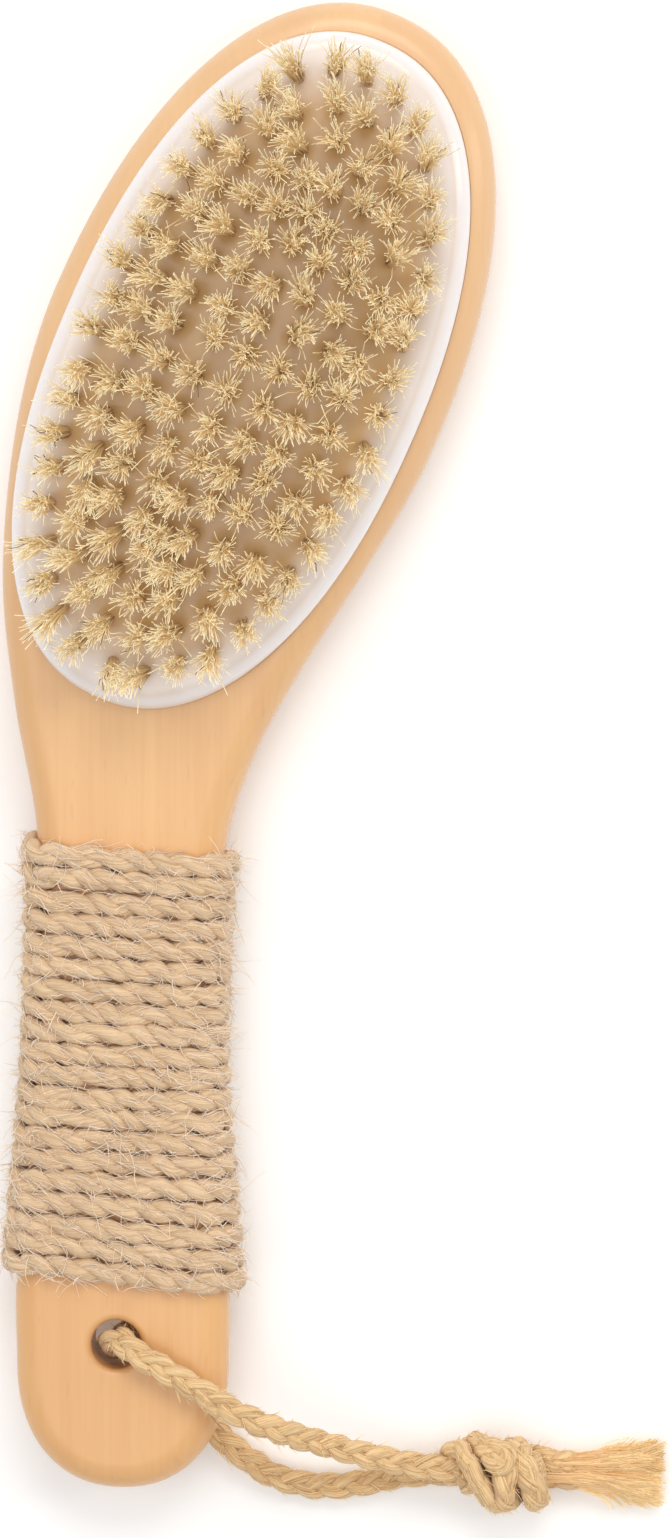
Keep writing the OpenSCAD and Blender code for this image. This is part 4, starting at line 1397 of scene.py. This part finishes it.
class DRYBRUSH_OT_pad(bpy.types.Operator):
    """Mould the soft pad, with a dimple at each tuft, and finish the adhesive and the anchors under it"""

    bl_idname = "drybrush.pad"
    bl_label = "Pad"

    SIDES = 220
    DIMPLE_SPREAD = 1.5 * MM

    # How far in from the pad's edge its painted shade has come in full, over the shoulder and over the dome
    SHOULDER_FADE = 9 * MM
    DOME_FADE = 14 * MM

    def execute(self, context):
        pad = PadShape(BodyShape())
        swell = pad.sizes.gap
        levels = [(swell * (4 - k) / 4, 1.0, mix(pad.base_z, pad.round_z(0), k / 4)) for k in range(4)]
        for q in np.linspace(0, pad.ROUND_END, 9):
            levels.append((pad.round_inset(q) - swell * math.cos(q), 1.0, pad.round_z(q)))
        levels += [(pad.dome_inset, share, pad.dome_z(share)) for share in np.linspace(0.98, 0.02, 56)]
        rings, inward = [], []
        for inset, share, z in levels:
            oval = pad.oval(inset, self.SIDES) * share
            rings.append(np.column_stack([oval, np.full(self.SIDES, z)]))
            on_dome = (pad.dome_inset + (1 - share) * pad.half_w) / self.DOME_FADE
            depth = inset / self.SHOULDER_FADE if share == 1.0 else on_dome
            inward.append(np.full(self.SIDES, min(depth, 1.0)))
        points = np.vstack(rings)
        points[:, 2] -= self.dimples(pad, points)
        sides, count = self.SIDES, len(rings)
        faces = band_faces(count, sides)
        faces.append(tuple(range(sides - 1, -1, -1)))
        top = len(points)
        points = np.vstack([points, [[0, 0, pad.dome_z(0)]]])
        faces += [(top - sides + i, top - sides + (i + 1) % sides, top) for i in range(sides)]
        mesh = bpy.data.meshes.new("pad_cushion")
        mesh.from_pydata(pad.body.on_head(points).tolist(), [], faces)
        write_attribute(mesh, "inward", "FLOAT", np.concatenate(inward + [[1.0]]))
        mesh.shade_smooth()
        mesh.set_sharp_from_angle(angle=math.radians(50))
        cushion = place("pad_cushion", mesh, pad_finish(context.scene.brush_finishes))
        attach(cushion, BRUSH)
        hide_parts("bristle_pad")
        refinish("pad_adhesive", adhesive_finish())
        steel = anchor_finish()
        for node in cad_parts:
            if node.startswith("anchors"):
                refinish(node, steel)
        return {"FINISHED"}

    def dimples(self, pad, points):
        depth = np.zeros(len(points))
        for k in range(pad.rings + 1):
            for tuft in pad.ring_tufts(k):
                away = np.linalg.norm(points[:, :2] - tuft, axis=1)
                depth += pad.sizes.dimple * np.exp(-((away / self.DIMPLE_SPREAD) ** 2))
        return np.where(points[:, 2] > pad.round_z(0), depth, 0)


def refinish(node, material):
    """Gives a kept CAD node a better material."""
    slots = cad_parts[node].data.materials
    if not len(slots):
        slots.append(material)
    for i in range(len(slots)):
        slots[i] = material


class DRYBRUSH_OT_tufts(bpy.types.Operator):
    """Set the tufts of natural bristle in the pad, one piece for each ring's side and one for the middle"""

    bl_idname = "drybrush.tufts"
    bl_label = "Bristle tufts"

    # How far a tuft's place and its direction stray from the pattern
    STRAY = 0.22 * MM
    STRAY_LEAN = 0.075

    def execute(self, context):
        s = context.scene.brush_tufts
        noise = np.random.default_rng(12)
        hairs = tree_named("Tapered hairs", hair_tree)
        tree = tree_named("Bristle tufts", tuft_tree, hairs)
        finish = bristle_finish(context.scene.brush_finishes)
        for number, (name, roots, axes) in enumerate(PadShape(BodyShape()).tuft_groups()):
            mesh = bpy.data.meshes.new(name)
            jitter = noise.normal(0, self.STRAY, roots.shape) * (1, 1, 0)
            mesh.from_pydata((roots + jitter).tolist(), [], [])
            leans = unit(axes + noise.normal(0, self.STRAY_LEAN, axes.shape))
            write_attribute(mesh, "axis", "FLOAT_VECTOR", leans)
            write_attribute(mesh, "height", "FLOAT", noise.uniform(0.9, 1.02, len(roots)))
            tuft = grown(
                f"bristles_{name}", mesh, tree, bristles=s.bristles, root_radius=s.root_d / 2,
                tip_radius=s.tip_d / 2, free_length=s.reach, thickness=s.thickness, seed=100 * number + 1,
                material=finish,
            )
            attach(tuft, BRUSH)
            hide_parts(f"tufts_{name}")
        return {"FINISHED"}


class DRYBRUSH_OT_twine(bpy.types.Operator):
    """Wind the two-ply twine round the grip, with its loose fibres"""

    bl_idname = "drybrush.twine"
    bl_label = "Twine grip"

    CORNER_STEPS = 8
    FLAT_STEPS = 14
    FIRST_CORNER = 3

    # Loose fibres to a square metre: combed along the twine and standing off it
    COMBED = 360000.0
    UPRIGHT = 210000.0

    # How far the twine strays along the grip
    WANDER = 0.18 * MM

    # How far the first turns ride up and the last hang down, and over how many corners that fades
    RIDE_UP, RIDE_CORNERS = 0.8 * MM, 18
    HANG_DOWN, HANG_CORNERS = 1.9 * MM, 30

    def execute(self, context):
        s = context.scene.brush_twine
        colours = context.scene.brush_finishes
        points, outs = self.path(BodyShape(), s)
        mesh = bpy.data.meshes.new("twine_path")
        mesh.from_pydata(points.tolist(), [(i, i + 1) for i in range(len(points) - 1)], [])
        write_attribute(mesh, "out", "FLOAT_VECTOR", outs)
        # gap and depth set the reach and darkness of the painted shade in the twine's creases.
        finish = fibre_finish(
            "jute_twine", colours.jute, colours.jute_dark_and_shade,
            fineness=5.0, per_metre=85, twist=330, gap=1.0 * MM, depth=0.62,
        )
        twine = grown(
            "twine_wrap", mesh, tree_named("Two-ply twine", twine_tree), step=0.75 * MM, twist_length=s.lay,
            width=s.width, thickness=s.thickness, seed=3.0, material=finish,
        )
        hairs = tree_named("Tapered hairs", hair_tree)
        pale = tuple(mix(c, 1, 0.35) for c in colours.jute)
        loose = {"material": loose_fibre_finish("loose_jute", pale), "thickness": 0.2 * MM}
        tree = tree_named("Loose fibres", fuzz_tree, hairs)
        fibres = grown(
            "twine_fibres", twine.data.copy(), tree, density=self.COMBED, length=7 * MM, lift=0.4 * MM,
            combed=0.82, seed=9, **loose,
        )
        fuzz = grown(
            "twine_fuzz", twine.data.copy(), tree, density=self.UPRIGHT, length=6 * MM, lift=1.2 * MM,
            seed=8, **loose,
        )
        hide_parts("jute_wrap")
        for piece in (twine, fibres, fuzz):
            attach(piece, BRUSH)
        return {"FINISHED"}

    def end_shift(self, corner, corners):
        """How far the first turns ride up on the left and the last turns hang down on the right."""
        if corner % 4 in (0, 3):
            return self.RIDE_UP * smooth(1 - (corner - self.FIRST_CORNER) / self.RIDE_CORNERS)
        return -self.HANG_DOWN * smooth(1 - (self.FIRST_CORNER + corners - corner) / self.HANG_CORNERS)

    def path(self, shape, s):
        """Points of the twine's middle round the rounded section of the handle, and the way out at each."""
        wood = shape.sizes
        out_r = wood.edge_r + s.thickness / 2 - TWINE_BITE
        corner_arc = out_r * math.pi / 2
        corners = int(round(4 * s.turns))
        wander = np.random.default_rng(4).normal(0, self.WANDER, corners * 3 + 3)
        points, outs = [], []
        for n in range(self.FIRST_CORNER, self.FIRST_CORNER + corners):
            turn, c = divmod(n, 4)
            y0 = shape.neck_y - s.down - (turn - 1) * s.pitch
            flat_w = 2 * (shape.half_at(y0) - wood.edge_r)
            flat_t = wood.head_t - shape.back_z(y0) - 2 * wood.edge_r
            full = 4 * corner_arc + 2 * flat_w + 2 * flat_t
            for k in range(self.CORNER_STEPS + 1):
                bend = k / self.CORNER_STEPS
                done = (c + bend) * corner_arc + math.ceil(c / 2) * flat_w + (c // 2) * flat_t
                y = y0 - s.pitch * done / full
                y += wander[len(points) // 3] + self.end_shift(n, corners)
                q = math.pi - math.pi / 2 * (c + bend)
                side = -1 if c in (0, 3) else 1
                z = wood.head_t - wood.edge_r if c < 2 else shape.back_z(y) + wood.edge_r
                out = np.array([math.cos(q), 0, math.sin(q)])
                centre = np.array([shape.middle_at(y) + side * (shape.half_at(y) - wood.edge_r), y, z])
                points.append(centre + out_r * out)
                outs.append(out)
        return np.array(points), np.array(outs)


class DRYBRUSH_OT_stage(bpy.types.Operator):
    """Lay a plain pale floor and set up soft studio light"""

    bl_idname = "drybrush.stage"
    bl_label = "Floor and light"

    FLOOR_HALF = 12.0
    FLOOR_SQUARES = 24
    ROOM_LIGHT = 0.6

    # Name, place, width and height, power and colour of each softbox
    SOFTBOXES = [
        ("key", (0.15, 1.0, 1.25), (0.9, 0.7), 9.0, (1.0, 0.985, 0.965)),
        ("top", (-0.35, -0.1, 1.7), (1.4, 1.4), 7.5, (1.0, 1.0, 1.0)),
        ("right", (1.2, 0.3, 0.85), (0.3, 1.0), 3.0, (1.0, 0.985, 0.96)),
    ]

    def execute(self, context):
        self.floor()
        for softbox in self.SOFTBOXES:
            self.softbox(*softbox)
        world = bpy.data.worlds.new("studio")
        world.use_nodes = True
        background = world.node_tree.nodes["Background"]
        background.inputs["Color"].default_value = (1, 1, 1, 1)
        background.inputs["Strength"].default_value = self.ROOM_LIGHT
        context.scene.world = world
        context.scene.view_settings.view_transform = "Standard"
        return {"FINISHED"}

    def floor(self):
        row = self.FLOOR_SQUARES + 1
        grid = np.linspace(-self.FLOOR_HALF, self.FLOOR_HALF, row)
        corners = [j * row + i for j in range(row - 1) for i in range(row - 1)]
        faces = [(c, c + 1, c + row + 1, c + row) for c in corners]
        mesh = bpy.data.meshes.new("floor")
        mesh.from_pydata([(x, y, 0) for y in grid for x in grid], [], faces)
        place("floor", mesh, floor_finish())

    def softbox(self, name, at, size, power, tint):
        light = bpy.data.lights.new(name, "AREA")
        light.shape = "RECTANGLE"
        light.size, light.size_y = size
        light.energy = power
        light.color = tint
        obj = bpy.data.objects.new(name, light)
        bpy.context.scene.collection.objects.link(obj)
        aim = Vector((0, 0, 0)) - Vector(at)
        obj.matrix_world = Matrix.Translation(Vector(at)) @ aim.to_track_quat("-Z", "Y").to_matrix().to_4x4()


class DRYBRUSH_PT_panel(bpy.types.Panel):
    """Buttons that build the brush, with its sizes and colours"""

    bl_idname = "DRYBRUSH_PT_panel"
    bl_label = "Body Dry Brush"
    bl_space_type = "VIEW_3D"
    bl_region_type = "UI"
    bl_category = "Dry Brush"

    def draw(self, context):
        for operator in OPERATORS:
            self.layout.operator(operator.bl_idname)
        for key, (label, kind) in SETTINGS.items():
            box = self.layout.box()
            box.label(text=label)
            for name in kind.__annotations__:
                box.prop(getattr(context.scene, key), name)


SETTINGS = {
    "brush_wood": ("Wood", WoodSizes),
    "brush_pad": ("Pad", PadSizes),
    "brush_tufts": ("Tufts", TuftSizes),
    "brush_twine": ("Twine", TwineSizes),
    "brush_cord": ("Cord", CordSizes),
    "brush_finishes": ("Finishes", Finishes),
}
OPERATORS = [
    DRYBRUSH_OT_camera,
    DRYBRUSH_OT_cords,
    DRYBRUSH_OT_body,
    DRYBRUSH_OT_pad,
    DRYBRUSH_OT_tufts,
    DRYBRUSH_OT_twine,
    DRYBRUSH_OT_stage,
]


def register():
    for kind in [kind for _, kind in SETTINGS.values()] + OPERATORS + [DRYBRUSH_PT_panel]:
        bpy.utils.register_class(kind)
    for key, (_, kind) in SETTINGS.items():
        setattr(bpy.types.Scene, key, PointerProperty(type=kind))


def unregister():
    for key in SETTINGS:
        delattr(bpy.types.Scene, key)
    for kind in [DRYBRUSH_PT_panel] + OPERATORS + [kind for _, kind in SETTINGS.values()]:
        bpy.utils.unregister_class(kind)


def main():
    register()
    bpy.ops.drybrush.camera()
    bpy.ops.drybrush.cords()
    bpy.ops.drybrush.body()
    bpy.ops.drybrush.pad()
    bpy.ops.drybrush.tufts()
    bpy.ops.drybrush.twine()
    bpy.ops.drybrush.stage()


if __name__ == "__main__":
    main()
